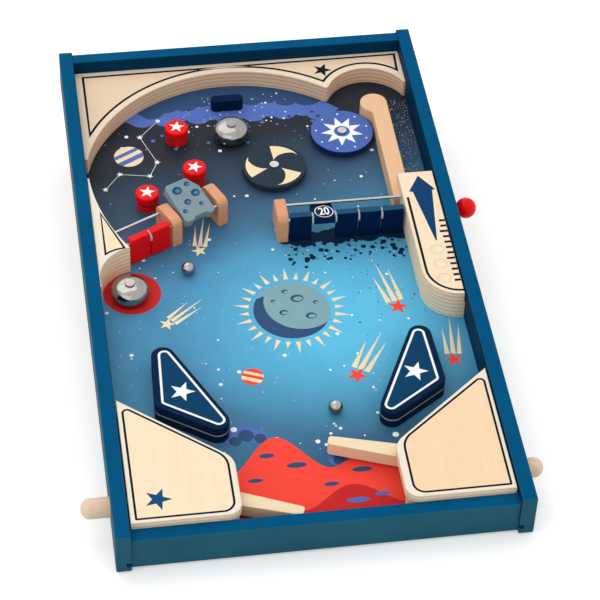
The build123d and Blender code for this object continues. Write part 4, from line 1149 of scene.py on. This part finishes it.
class PINBALL_OT_board(bpy.types.Operator):
    """Print the sky, the moon, shooting stars and hills on the board"""
    bl_idname = "pinball.board"
    bl_label = "Print the board"

    def execute(self, context):
        _, prints, _ = settings()
        dress(sky_material(prints), "playfield_board")
        cream = ink("Cream ink", prints.cream, 0.15)
        white = ink("White ink", prints.star, 0.1)
        periwinkle = ink("Periwinkle ink", prints.cloud, 0.5)
        slate = ink("Slate ink", prints.shade, 0.3)
        night = ink("Night ink", prints.speck, 0.2)
        red = ink("Red ink", prints.hill, 0.25)
        dark_red = ink("Dark red ink", prints.near_hill, 0.3)
        moon = ink("Moon ink", prints.moon, 0.3)
        self.top_clouds(periwinkle, slate, white)
        self.moon(moon, slate, cream)
        self.shooting_stars(cream, red, night)
        self.balls(red, cream, periwinkle)
        self.constellation(white)
        self.hills(red, dark_red, periwinkle, slate, white)
        self.dots(prints, white, night)
        printed("lower_bell_ring", [[circle(*BELL_SPOT, 72)]], INK, dark_red)
        return {"FINISHED"}

    def top_clouds(self, periwinkle, slate, white):
        lobes = []
        for k in range(12):
            odd = k % 2
            lobes.append((50 + 7 * k, 26 + 24 * sin(pi * k / 11) - 5 * odd, 12 + 3 * odd))
        printed("top_cloud", [[arch_cloud(lobes, 42, 136)]], INK, periwinkle)
        shades = [(angle + 2, depth * 0.62 - 3, radius) for angle, depth, radius in lobes[1:-1]]
        printed("top_cloud_shade", [[arch_cloud(shades, 44, 134)]], 2 * INK, slate)
        drops = scattered(46, seed=21, area=(-96, 66, 172, 214), sizes=(0.6, 2.6))
        printed("cloud_drops", drops, INK, periwinkle)
        specks = scattered(60, seed=23, area=(-60, 40, 196, 240), sizes=(0.4, 1.2))
        printed("cloud_specks", specks, 3 * INK, white)

    def moon(self, face, slate, cream):
        x, y, radius = MOON
        printed("moon_rays", burst(x, y, radius + 4, radius + 17, rays=28), INK, cream)
        printed("moon", [[circle(x, y, radius, 72)]], 2 * INK, face)
        shade = arc(x, y, radius, 150, 330, 40) + arc(x + 9, y + 9, radius * 0.98, 318, 162, 40)
        printed("moon_shade", [[shade]], 3 * INK, slate)
        craters = [[oval(x + a, y + b, r, r * 0.78)] for a, b, r in CRATERS]
        printed("moon_craters", craters, 4 * INK, slate)
        floors = [[oval(x + a + 0.8, y + b - 0.6, r * 0.7, r * 0.45)] for a, b, r in CRATERS]
        printed("moon_crater_floors", floors, 5 * INK, face)

    def shooting_stars(self, cream, red, night):
        places = (
            (96, -40, 9, -0.2), (-60, 44, 7, 0.2), (131, -104, 8, 0.1),
            (-96, -38, 7, 0.9), (50, -112, 9, 0.55),
        )
        heads = [[star(*place)] for place in places]
        tails = [streak for place in places for streak in star_tail(*place)]
        printed("star_tails", tails, INK, cream)
        printed("star_heads", heads[1::2], 2 * INK, cream)
        printed("red_star_heads", heads[::2], 2 * INK, red)
        specks = scattered(60, seed=5, area=(60, 120, -110, 10), sizes=(0.3, 0.9))
        printed("sky_specks", specks, INK, night)

    def balls(self, red, cream, periwinkle):
        pale_ball = (-108, 168, 13, 0.5)
        red_ball = (-34, -104, 9, -0.4)
        printed("round_balls", [[circle(*red_ball[:3], 40)]], 2 * INK, red)
        printed("pale_ball", [[circle(*pale_ball[:3], 48)]], 2 * INK, cream)
        printed("ball_stripes", striped_ball(*red_ball), 3 * INK, cream)
        printed("pale_ball_stripes", striped_ball(*pale_ball), 3 * INK, periwinkle)

    def constellation(self, white):
        places = ((-132, 128), (-118, 146), (-92, 141), (-84, 158), (-96, 192), (-78, 212))
        lines = [stroke([a, b], 0.45, closed=False) for a, b in zip(places, places[1:])]
        printed("constellation_lines", lines, INK, white)
        stars = [[star(x, y, 3.2, 0.3 * i)] for i, (x, y) in enumerate(places)]
        printed("constellation_stars", stars, 2 * INK, white)

    def hills(self, red, dark_red, periwinkle, slate, white):
        clouds = (
            ((22, -196, 9), (33, -190, 12), (47, -194, 11), (58, -200, 8)),
            ((-58, -168, 7), (-49, -163, 9), (-38, -167, 7)),
        )
        printed("hill_clouds", [[cloud(circles)] for circles in clouds], INK, periwinkle)
        shades = [[cloud([(x + 1.5, y - 2.5, r * 0.7) for x, y, r in circles])] for circles in clouds]
        printed("hill_cloud_shades", shades, 2 * INK, slate)
        printed("far_hill", [[hill_line(-206, ((-26, 42, 36), (46, 34, 14)))]], 3 * INK, red)
        printed("near_hill", [[hill_line(-246, ((-58, 34, 18), (28, 42, 22)))]], 4 * INK, dark_red)
        hollows = (
            (-34, -188, 6, 2.4), (-12, -200, 8, 2.8), (12, -222, 6, 2.0),
            (38, -210, 8, 2.6), (-46, -212, 6, 2.0),
        )
        printed("hill_hollows", [[oval(*hollow)] for hollow in hollows], 4 * INK, slate)
        pools = ((30, -240, 9, 2.6), (50, -236, 6, 2.0), (2, -250, 6, 1.8))
        printed("hill_pools", [[oval(*pool)] for pool in pools], 5 * INK, periwinkle)
        puffs = (
            (-56, -158, 2.6), (70, -178, 2.6), (8, -178, 2.0),
            (14, -182, 1.4), (-24, -172, 2.2), (-17, -176, 1.4),
        )
        printed("hill_puffs", [[circle(*puff, 20)] for puff in puffs], 2 * INK, white)

    def dots(self, prints, white, night):
        def in_sky(x, y):
            """In front of the arch and behind the hills."""
            in_arch = hypot(x - ARCH[0], y - ARCH[1]) < ARCH[2] - ARCH_MARGIN
            return (in_arch or y < ARCH[1]) and y > DOTS_FRONT

        def in_dust(x, y):
            """Behind a ragged edge."""
            return y > 45 - 34 * ((x * 7.3) % 1)

        sky = scattered(prints.star_dots, 7, area=(-144, 110, -190, 245), sizes=(0.35, 1.9), inside=in_sky)
        printed("sky_dots", sky, INK, white)
        lane = scattered(260, seed=11, area=(127.5, 147, 92, 216), sizes=(0.2, 0.42))
        printed("lane_dots", lane, INK, white)
        dust = scattered(190, seed=13, area=(12, 116, 4, 46), sizes=(0.3, 2.6), inside=in_dust)
        printed("row_dust", dust, INK, night)
        row = [(14 + 9 * k, 49, 6 + 2 * (k % 3)) for k in range(12)]
        printed("row_shade", [[cloud(row)]], 2 * INK, night)


# Lines and marks on bare wood

# The back deck's line is this many times as wide as the others, and lies this far from the arches
BACK_LINE_SHARE = 1.25
BACK_LINE_GAP = 6.7
BACK_LINE_LEFT, BACK_LINE_RIGHT, BACK_LINE_TOP = -140.5, 142.7, 259.5

# Radii at the front decks' corners, from the outer back one over the inner two to the outer front one
FRONT_LINE_ROUNDS = (3.4, 18, 9, 0.5)

# Stars on the back deck and the left front deck: X, Y and radius
BACK_STAR = (75.1, 245.7, 9.2)
FRONT_STAR = (-124.5, -244, 11)

# The start cover's line: how many times as wide as the others, its back end and the arc that it ends in
START_LINE_SHARE = 1.2
START_LINE_BACK = (120.3, 60)
START_CORNER = (147, -27.2, 26.7)

# The strength ticks: the line that they end on, the first one's place, and their sizes
TICK_END = 146.6
FIRST_TICK_Y = 28.9
TICK_PITCH = 6.44
TICK_COUNT = 12
TICK_HALF = 1.25
TICK_REACH = 5.2
LONG_TICK_REACH = 6.8

# The three ball rests in the start cover, and the ring of painted shade drawn round each rim
DIMPLES = (133.4, -4.7)
DIMPLE_PITCH = 17
DIMPLE_COUNT = 3
DIMPLE_RIM = 5.4
DIMPLE_RIM_WIDTH = 0.5

# The right slingshot's three rounds, how far its line lies in from them and is moved to the middle
SLINGSHOT_ROUNDS = ((104.5, -88, 9.5), (108.3, -137, 8), (69.5, -161.2, 9.5))
SLINGSHOT_INSET = 5.2
SLINGSHOT_SHIFT = 1.1
SLINGSHOT_LINE = 1.9
SLINGSHOT_STAR = (93.6, -128.4, 10.6)


def meeting(first, second):
    """The further back of the two points where two circles cross."""
    (ax, ay, ar), (bx, by, br) = first, second
    gap = hypot(bx - ax, by - ay)
    along = (ar * ar - br * br + gap * gap) / (2 * gap)
    aside = sqrt(ar * ar - along * along)
    ux, uy = (bx - ax) / gap, (by - ay) / gap
    points = [(ax + along * ux - s * aside * uy, ay + along * uy + s * aside * ux) for s in (1, -1)]
    return max(points, key=lambda point: point[1])


def back_of(ring, x):
    """The furthest back point of a circle at a place along X."""
    return (x, ring[1] + sqrt(ring[2] ** 2 - (x - ring[0]) ** 2))


def arc_between(ring, start, end, points):
    """A circle's arc from one of its points to another."""
    first, last = (degrees(atan2(y - ring[1], x - ring[0])) for x, y in (start, end))
    return arc(*ring, first, last, points)


class PINBALL_OT_deck_lines(bpy.types.Operator):
    """Draw the dark borders and stars on the plywood decks"""
    bl_idname = "pinball.deck_lines"
    bl_label = "Line the decks"

    def execute(self, context):
        paints, prints, _ = settings()
        navy = ink("Line ink", prints.line, 0.1)
        width = prints.line_width / MM
        self.back_border(paints, navy, BACK_LINE_SHARE * width)
        self.front_borders(paints, prints, navy, width)
        hollow = ((-124.4, 26.4), (-128.6, 25.9), (-132.6, 24.9), (-136.8, 23.1), (-140.5, 20.8))
        triangle = [(-140.5, 69.4), *hollow]
        wood = panel_wood("Left panel wood", paints.left_panel, along_x=0)
        self.lined_panel("side_deck", triangle, HIGH_DECK_TOP, width, wood, navy)
        return {"FINISHED"}

    def lined_panel(self, name, outline, height, width, wood, navy):
        """A varnished panel with the dark line round it."""
        printed(f"{name}_panel", [[outline]], height + INK, wood)
        printed(f"{name}_line", [stroke(outline, width)], height + 2 * INK, navy)

    def back_border(self, paints, navy, width):
        arch, lane = ((x, y, radius + BACK_LINE_GAP) for x, y, radius in (ARCH, LANE_ARCH))
        crossing = meeting(arch, lane)
        path = [(BACK_LINE_LEFT, BACK_LINE_TOP - 1)]
        path += arc_between(arch, back_of(arch, BACK_LINE_LEFT), crossing, 60)
        path += arc_between(lane, crossing, back_of(lane, BACK_LINE_RIGHT), 30)[1:]
        path += [(BACK_LINE_RIGHT + 1, BACK_LINE_TOP + 1)]
        # The back panel's darker colour is partly painted shade against the strong light at the back.
        wood = panel_wood("Back panel wood with painted shade", paints.back_panel, along_x=1)
        self.lined_panel("back_deck", path, LOW_DECK_TOP, width, wood, navy)
        printed("back_deck_star", [[star(*BACK_STAR, STAR_LEAN)]], LOW_DECK_TOP + 2 * INK, navy)

    def front_borders(self, paints, prints, navy, width):
        left = [(-142.9, -148.3), (-67.8, -208.9), (-67.8, -261.4), (-142.5, -261.4)]
        right = [(143.4, -148.8), (68.9, -208.0), (68.9, -261.1), (143.1, -261.1)]
        for name, outline, face in (("left", left, paints.left_panel), ("right", right, paints.right_panel)):
            wood = panel_wood(f"{name.capitalize()} panel wood", face, along_x=0)
            border = rounded(outline, FRONT_LINE_ROUNDS)
            self.lined_panel(f"{name}_deck", border, HIGH_DECK_TOP, width, wood, navy)
        blue = ink("Deck star ink", prints.deck_star, 0.1)
        printed("left_deck_star", [[star(*FRONT_STAR, STAR_LEAN)]], HIGH_DECK_TOP + 2 * INK, blue)


class PINBALL_OT_start_marks(bpy.types.Operator):
    """Print the arrow, the line and the strength ticks on the start cover"""
    bl_idname = "pinball.start_marks"
    bl_label = "Mark the start cover"

    def execute(self, context):
        _, prints, _ = settings()
        navy = ink("Line ink", prints.line, 0.1)
        height = HIGH_DECK_TOP + INK
        arrow = [
            (133.6, 85.7), (122.7, 67), (125.7, 66.2), (134.4, 5.8),
            (135.6, 5.8), (142.6, 66.6), (145.4, 67.5),
        ]
        printed("start_arrow", [[arrow]], height, ink("Arrow ink", prints.arrow, 0.1))
        path = [START_LINE_BACK, *arc(*START_CORNER, 180, 270, 24)]
        width = START_LINE_SHARE * prints.line_width / MM
        printed("start_line", [stroke(path, width, closed=False)], height, navy)
        printed("strength_ticks", self.ticks(), height, navy)
        # A darker ring round each ball rest: painted shade at its rim.
        x, first_y = DIMPLES
        shaded_rims = []
        for i in range(DIMPLE_COUNT):
            shaded_rims.append(stroke(circle(x, first_y - i * DIMPLE_PITCH, DIMPLE_RIM, 40), DIMPLE_RIM_WIDTH))
        printed("dimple_rim_shades", shaded_rims, height, ink("Dimple rim shade", prints.rim_shade, 0.1))
        return {"FINISHED"}

    def ticks(self):
        """Short bars down the lane's side, with the third of every five longer."""
        ticks = []
        for i in range(TICK_COUNT):
            y = FIRST_TICK_Y - TICK_PITCH * i
            reach = LONG_TICK_REACH if i % 5 == 2 else TICK_REACH
            ticks.append([box(TICK_END - reach, TICK_END, y - TICK_HALF, y + TICK_HALF)])
        return ticks


class PINBALL_OT_slingshot_marks(bpy.types.Operator):
    """Print the white line and star on each slingshot"""
    bl_idname = "pinball.slingshot_marks"
    bl_label = "Line the slingshots"

    def execute(self, context):
        _, prints, _ = settings()
        white = ink("Slingshot white", prints.star, 0.05)
        blue = ink("Slingshot blue", prints.slingshot, 0.1)
        line = hull(SLINGSHOT_ROUNDS, SLINGSHOT_INSET)
        star_x, star_y, radius = SLINGSHOT_STAR
        for side, name in ((-1, "left"), (1, "right")):
            outline = [(side * (x - SLINGSHOT_SHIFT), y) for x, y in line]
            printed(f"{name}_slingshot_field", [[outline]], SLINGSHOT_TOP + INK, blue)
            shapes = [stroke(outline, SLINGSHOT_LINE), [star(side * star_x, star_y, radius, STAR_LEAN)]]
            printed(f"{name}_slingshot_print", shapes, SLINGSHOT_TOP + 2 * INK, white)
        return {"FINISHED"}


# Prints on the small pieces

BUMPER_PLACES = ((-63.9, 185.5), (-54.0, 132.0), (-97.8, 104.8))
BUMPER_STAR_RADIUS = 7.2
LEFT_DISC = (16.2, 134.0)
RIGHT_DISC = (82.0, 171.5)

# The blades on the left disc, which lie between two circles
BLADE_COUNT = 3
BLADE_STEPS = 12
BLADE_TIP = 25
BLADE_ROOT = 7

# In radians: the first blade's turn, its outer arc's sweep, and its inner edge's lead and winding
BLADE_TURN = 0.5
BLADE_SWEEP = 1.1
BLADE_LEAD = 0.1
BLADE_CURL = 0.9

# A target row's axle and stop rod: height, radius, and how far each lies behind the row's front
ROD_HEIGHT = 22.5
ROD_RADIUS = 1.25
AXLE_SETBACK = 3.3
STOP_SETBACK = 21.5

# The gap between a stop rod and a target at rest on it
STOP_GAP = 0.3

# Half the thickness of a hanging target and of the swinging one
TARGET_HALF = 3.3
SWING_HALF = 4.8

# The tipped navy target: the middle of its axle, and the number printed on it
TIPPED_AXLE = Vector((47.35, 49.3, ROD_HEIGHT))
NUMBER_RISE = 4.5
NUMBER_RING = (7.6, 9.9)
NUMBER_SIZE = 10.5
NUMBER_BOLDNESS = 0.22
NUMBER_STRETCH = (0.88, 1.7)

# The red row: its start and turn, where its first post stands, and the space for the swinging target
RED_ROW_PLACE = Vector((-117.2, 33.3, ROD_HEIGHT))
RED_ROW_TURN = radians(26)
RED_ROW_POST = 40
POST_THICKNESS = 9.6
SWING_SPACE = 36.1

# Spots on the swinging target, from the middle of its axle: place and radius
SPOTS = ((-8, 25, 4.4), (3, 27.5, 2.6), (5.5, 17, 4.0), (-5, 12, 3.2), (5, 6, 2.0), (-11.5, 5, 2.2))


def rest_angle(half):
    """How far off level a target of this half thickness is when it meets its stop rod."""
    return asin((half + ROD_RADIUS + STOP_GAP) / (STOP_SETBACK - AXLE_SETBACK))


def face_plane(axle, across, up, half):
    """The plane of a target's printed face, from its axle and the face's two directions."""
    out = across.cross(up)
    plane = Matrix((across, up, out)).transposed().to_4x4()
    plane.translation = axle + out * (half + INK)
    return BOARD @ plane


class PINBALL_OT_small_prints(bpy.types.Operator):
    """Print the bumpers' stars, the discs, the target's number and the swinging target"""
    bl_idname = "pinball.small_prints"
    bl_label = "Print the small pieces"

    def execute(self, context):
        _, prints, _ = settings()
        white = ink("Small white", prints.star, 0.05)
        self.bumper_stars(white)
        self.left_disc(ink("Disc cream", prints.cream, 0.15))
        self.right_disc(white)
        self.number(white)
        self.swing_marks(prints)
        return {"FINISHED"}

    def bumper_stars(self, white):
        for i, (x, y) in enumerate(BUMPER_PLACES, start=1):
            lean = STAR_LEAN if i == 2 else STAR_LEAN / 2
            printed(f"bumper_{i}_star", [[star(x, y, BUMPER_STAR_RADIUS, lean)]], BUMPER_TOP + INK, white)

    def left_disc(self, cream):
        """Curved blades, each between its outer arc and a curve that winds out from its root."""
        blades = []
        for k in range(BLADE_COUNT):
            turn = 2 * pi * k / BLADE_COUNT + BLADE_TURN
            blade = []
            for i in range(BLADE_STEPS + 1):
                blade.append(around(*LEFT_DISC, BLADE_TIP, turn + BLADE_SWEEP * i / BLADE_STEPS))
            for i in range(BLADE_STEPS):
                reach = BLADE_ROOT + (BLADE_TIP - BLADE_ROOT) * i / BLADE_STEPS
                curl = BLADE_CURL * (1 - i / BLADE_STEPS)
                blade.append(around(*LEFT_DISC, reach, turn + curl + BLADE_LEAD))
            blades.append([blade])
        printed("left_disc_blades", blades, DISC_TOP + INK, cream, body="left_disc")

    def right_disc(self, white):
        """A many-rayed star with a round hole, and a ring of dots between its rays."""
        rays, turn = 9, 0.2
        shapes = [[star(*RIGHT_DISC, 19, turn, rays, depth=0.52), circle(*RIGHT_DISC, 7, 36)[::-1]]]
        for k in range(rays):
            shapes.append([circle(*around(*RIGHT_DISC, 23, 2 * pi * k / rays + turn), 0.9, 12)])
        printed("right_disc_burst", shapes, DISC_TOP + INK, white, body="right_disc")

    def number(self, white):
        rest = rest_angle(TARGET_HALF)
        up = Vector((0, cos(rest), -sin(rest)))
        place = face_plane(TIPPED_AXLE + up * NUMBER_RISE, Vector((1, 0, 0)), up, TARGET_HALF)
        ring = stroke(oval(0, 0, *NUMBER_RING), 0.8)
        printed("number_ring", [ring], 0, white, "navy_target_2", place)
        text = bpy.data.curves.new("number_20", "FONT")
        text.body = "20"
        text.size = NUMBER_SIZE
        text.align_x = "CENTER"
        text.align_y = "CENTER"
        text.offset = NUMBER_BOLDNESS
        text.fill_mode = "FRONT"
        text.materials.append(white)
        piece = bpy.data.objects.new("number_20", text)
        bpy.context.scene.collection.objects.link(piece)
        piece.matrix_world = place @ Matrix.Diagonal((*NUMBER_STRETCH, 1, 1))
        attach(piece, "navy_target_2")

    def swing_marks(self, prints):
        dark = ink("Swing target ink", prints.spot, 0.2)
        pale = ink("Swing target pale", prints.spot_floor, 0.2)
        rest = rest_angle(SWING_HALF)
        row = Vector((cos(RED_ROW_TURN), sin(RED_ROW_TURN), 0))
        behind = Vector((-row.y, row.x, 0))
        up = behind * cos(rest) + Vector((0, 0, sin(rest)))
        along = RED_ROW_POST + POST_THICKNESS + SWING_SPACE / 2
        axle = RED_ROW_PLACE + row * along + behind * AXLE_SETBACK
        place = face_plane(axle, row, up, SWING_HALF)
        spots = [[oval(x, y, r, r * 0.85)] for x, y, r in SPOTS]
        printed("swing_target_spots", spots, 0, dark, "swing_target", place)
        floors = [[oval(x + 0.5, y - 0.4, r * 0.55, r * 0.4)] for x, y, r in SPOTS]
        printed("swing_target_floors", floors, INK, pale, "swing_target", place)


# Camera, light and floor, in metres and degrees

FLOOR_REACH = 6
FLOOR_LEVEL = 0.86
FLOOR_GLOW = 0.32
CAMERA_PLACE = (-0.22187, -1.51290, 1.29915)
CAMERA_TURN = (50.120, -0.8206, -8.4184)

# The light at the horizon, as a share of the light overhead
HORIZON_SHARE = 0.68

# Each lamp's size, its share of the key light's power, and its place. Both look at the origin.
LAMPS = {"key": (1.6, 1.0, (-0.5, 1.0, 1.8)), "fill": (1.8, 0.7, (-1.0, -1.3, 1.4))}


def background_rays(tree):
    """1 where the camera, a reflection or a clear piece looks at the background, else 0."""
    ray = put(tree, "ShaderNodeLightPath")
    seen = maths(tree, "MAXIMUM", ray.outputs["Is Camera Ray"], ray.outputs["Is Glossy Ray"])
    return maths(tree, "MAXIMUM", seen, ray.outputs["Is Transmission Ray"])


class PINBALL_OT_stage(bpy.types.Operator):
    """Set the floor, the soft light and the camera"""
    bl_idname = "pinball.stage"
    bl_label = "Set the stage"

    def execute(self, context):
        _, _, stage = settings()
        scene = bpy.context.scene
        scene.view_settings.view_transform = "Standard"
        self.floor(scene)
        self.light(scene, stage)
        self.camera(scene, stage)
        return {"FINISHED"}

    def floor(self, scene):
        material, tree, shader = new_surface("Floor")
        shader.inputs["Base Color"].default_value = opaque((FLOOR_LEVEL,) * 3)
        shader.inputs["Roughness"].default_value = 0.9
        glow = times(tree, background_rays(tree), FLOOR_GLOW)
        white = put(tree, "ShaderNodeEmission", Color=(1, 1, 1, 1), Strength=glow)
        both = put(tree, "ShaderNodeAddShader")
        fill(tree, both.inputs[0], shader.outputs[0])
        fill(tree, both.inputs[1], white.outputs[0])
        fill(tree, tree.nodes["Material Output"].inputs["Surface"], both.outputs[0])
        mesh = bpy.data.meshes.new("floor")
        corners = box(-FLOOR_REACH, FLOOR_REACH, -FLOOR_REACH, FLOOR_REACH)
        mesh.from_pydata([(x, y, 0) for x, y in corners], [], [(0, 1, 2, 3)])
        mesh.materials.append(material)
        floor = bpy.data.objects.new("floor", mesh)
        scene.collection.objects.link(floor)

    def light(self, scene, stage):
        world = bpy.data.worlds.new("Studio")
        scene.world = world
        world.use_nodes = True
        tree = world.node_tree
        back = tree.nodes["Background"]
        way = axes(tree, put(tree, "ShaderNodeTexCoord").outputs["Generated"])
        horizon = HORIZON_SHARE * stage.world_level
        overhead = spread(tree, way["Z"], 0.0, 0.8, horizon, stage.world_level)
        back.inputs["Color"].default_value = (1, 1, 1, 1)
        fill(tree, back.inputs["Strength"], spread(tree, background_rays(tree), 0.0, 1.0, overhead, 1.0))
        for name, (size, share, place) in LAMPS.items():
            lamp = bpy.data.lights.new(name, "AREA")
            lamp.size = size
            lamp.energy = stage.key_power * share
            holder = bpy.data.objects.new(name, lamp)
            holder.location = place
            holder.rotation_euler = (-Vector(place)).to_track_quat("-Z", "Y").to_euler()
            scene.collection.objects.link(holder)

    def camera(self, scene, stage):
        lens = bpy.data.cameras.new("photo_camera")
        lens.lens = stage.lens
        lens.sensor_width = 36
        lens.clip_end = 50
        camera = bpy.data.objects.new("photo_camera", lens)
        camera.location = CAMERA_PLACE
        camera.rotation_euler = Euler([radians(turn) for turn in CAMERA_TURN], "XYZ")
        scene.collection.objects.link(camera)
        scene.camera = camera


class PINBALL_PT_panel(bpy.types.Panel):
    """Lists the steps of the finish, in order"""
    bl_label = "Pinball"
    bl_idname = "PINBALL_PT_panel"
    bl_space_type = "VIEW_3D"
    bl_region_type = "UI"
    bl_category = "Pinball"

    def draw(self, context):
        for step in STEPS:
            self.layout.operator(step.bl_idname)


STEPS = (
    PINBALL_OT_case,
    PINBALL_OT_plywood,
    PINBALL_OT_beech,
    PINBALL_OT_paintwork,
    PINBALL_OT_metal,
    PINBALL_OT_bells,
    PINBALL_OT_spring,
    PINBALL_OT_elastic,
    PINBALL_OT_board,
    PINBALL_OT_deck_lines,
    PINBALL_OT_start_marks,
    PINBALL_OT_slingshot_marks,
    PINBALL_OT_small_prints,
    PINBALL_OT_stage,
)
GROUPS = (PinballPaints, PinballPrint, PinballStage)


def register():
    for each in (*GROUPS, *STEPS, PINBALL_PT_panel):
        bpy.utils.register_class(each)
    bpy.types.Scene.pinball_paints = PointerProperty(type=PinballPaints)
    bpy.types.Scene.pinball_print = PointerProperty(type=PinballPrint)
    bpy.types.Scene.pinball_stage = PointerProperty(type=PinballStage)


def unregister():
    del bpy.types.Scene.pinball_stage
    del bpy.types.Scene.pinball_print
    del bpy.types.Scene.pinball_paints
    for each in reversed((*GROUPS, *STEPS, PINBALL_PT_panel)):
        bpy.utils.unregister_class(each)


def main():
    register()
    for step in STEPS:
        family, name = step.bl_idname.split(".")
        getattr(getattr(bpy.ops, family), name)()


if __name__ == "__main__":
    main()
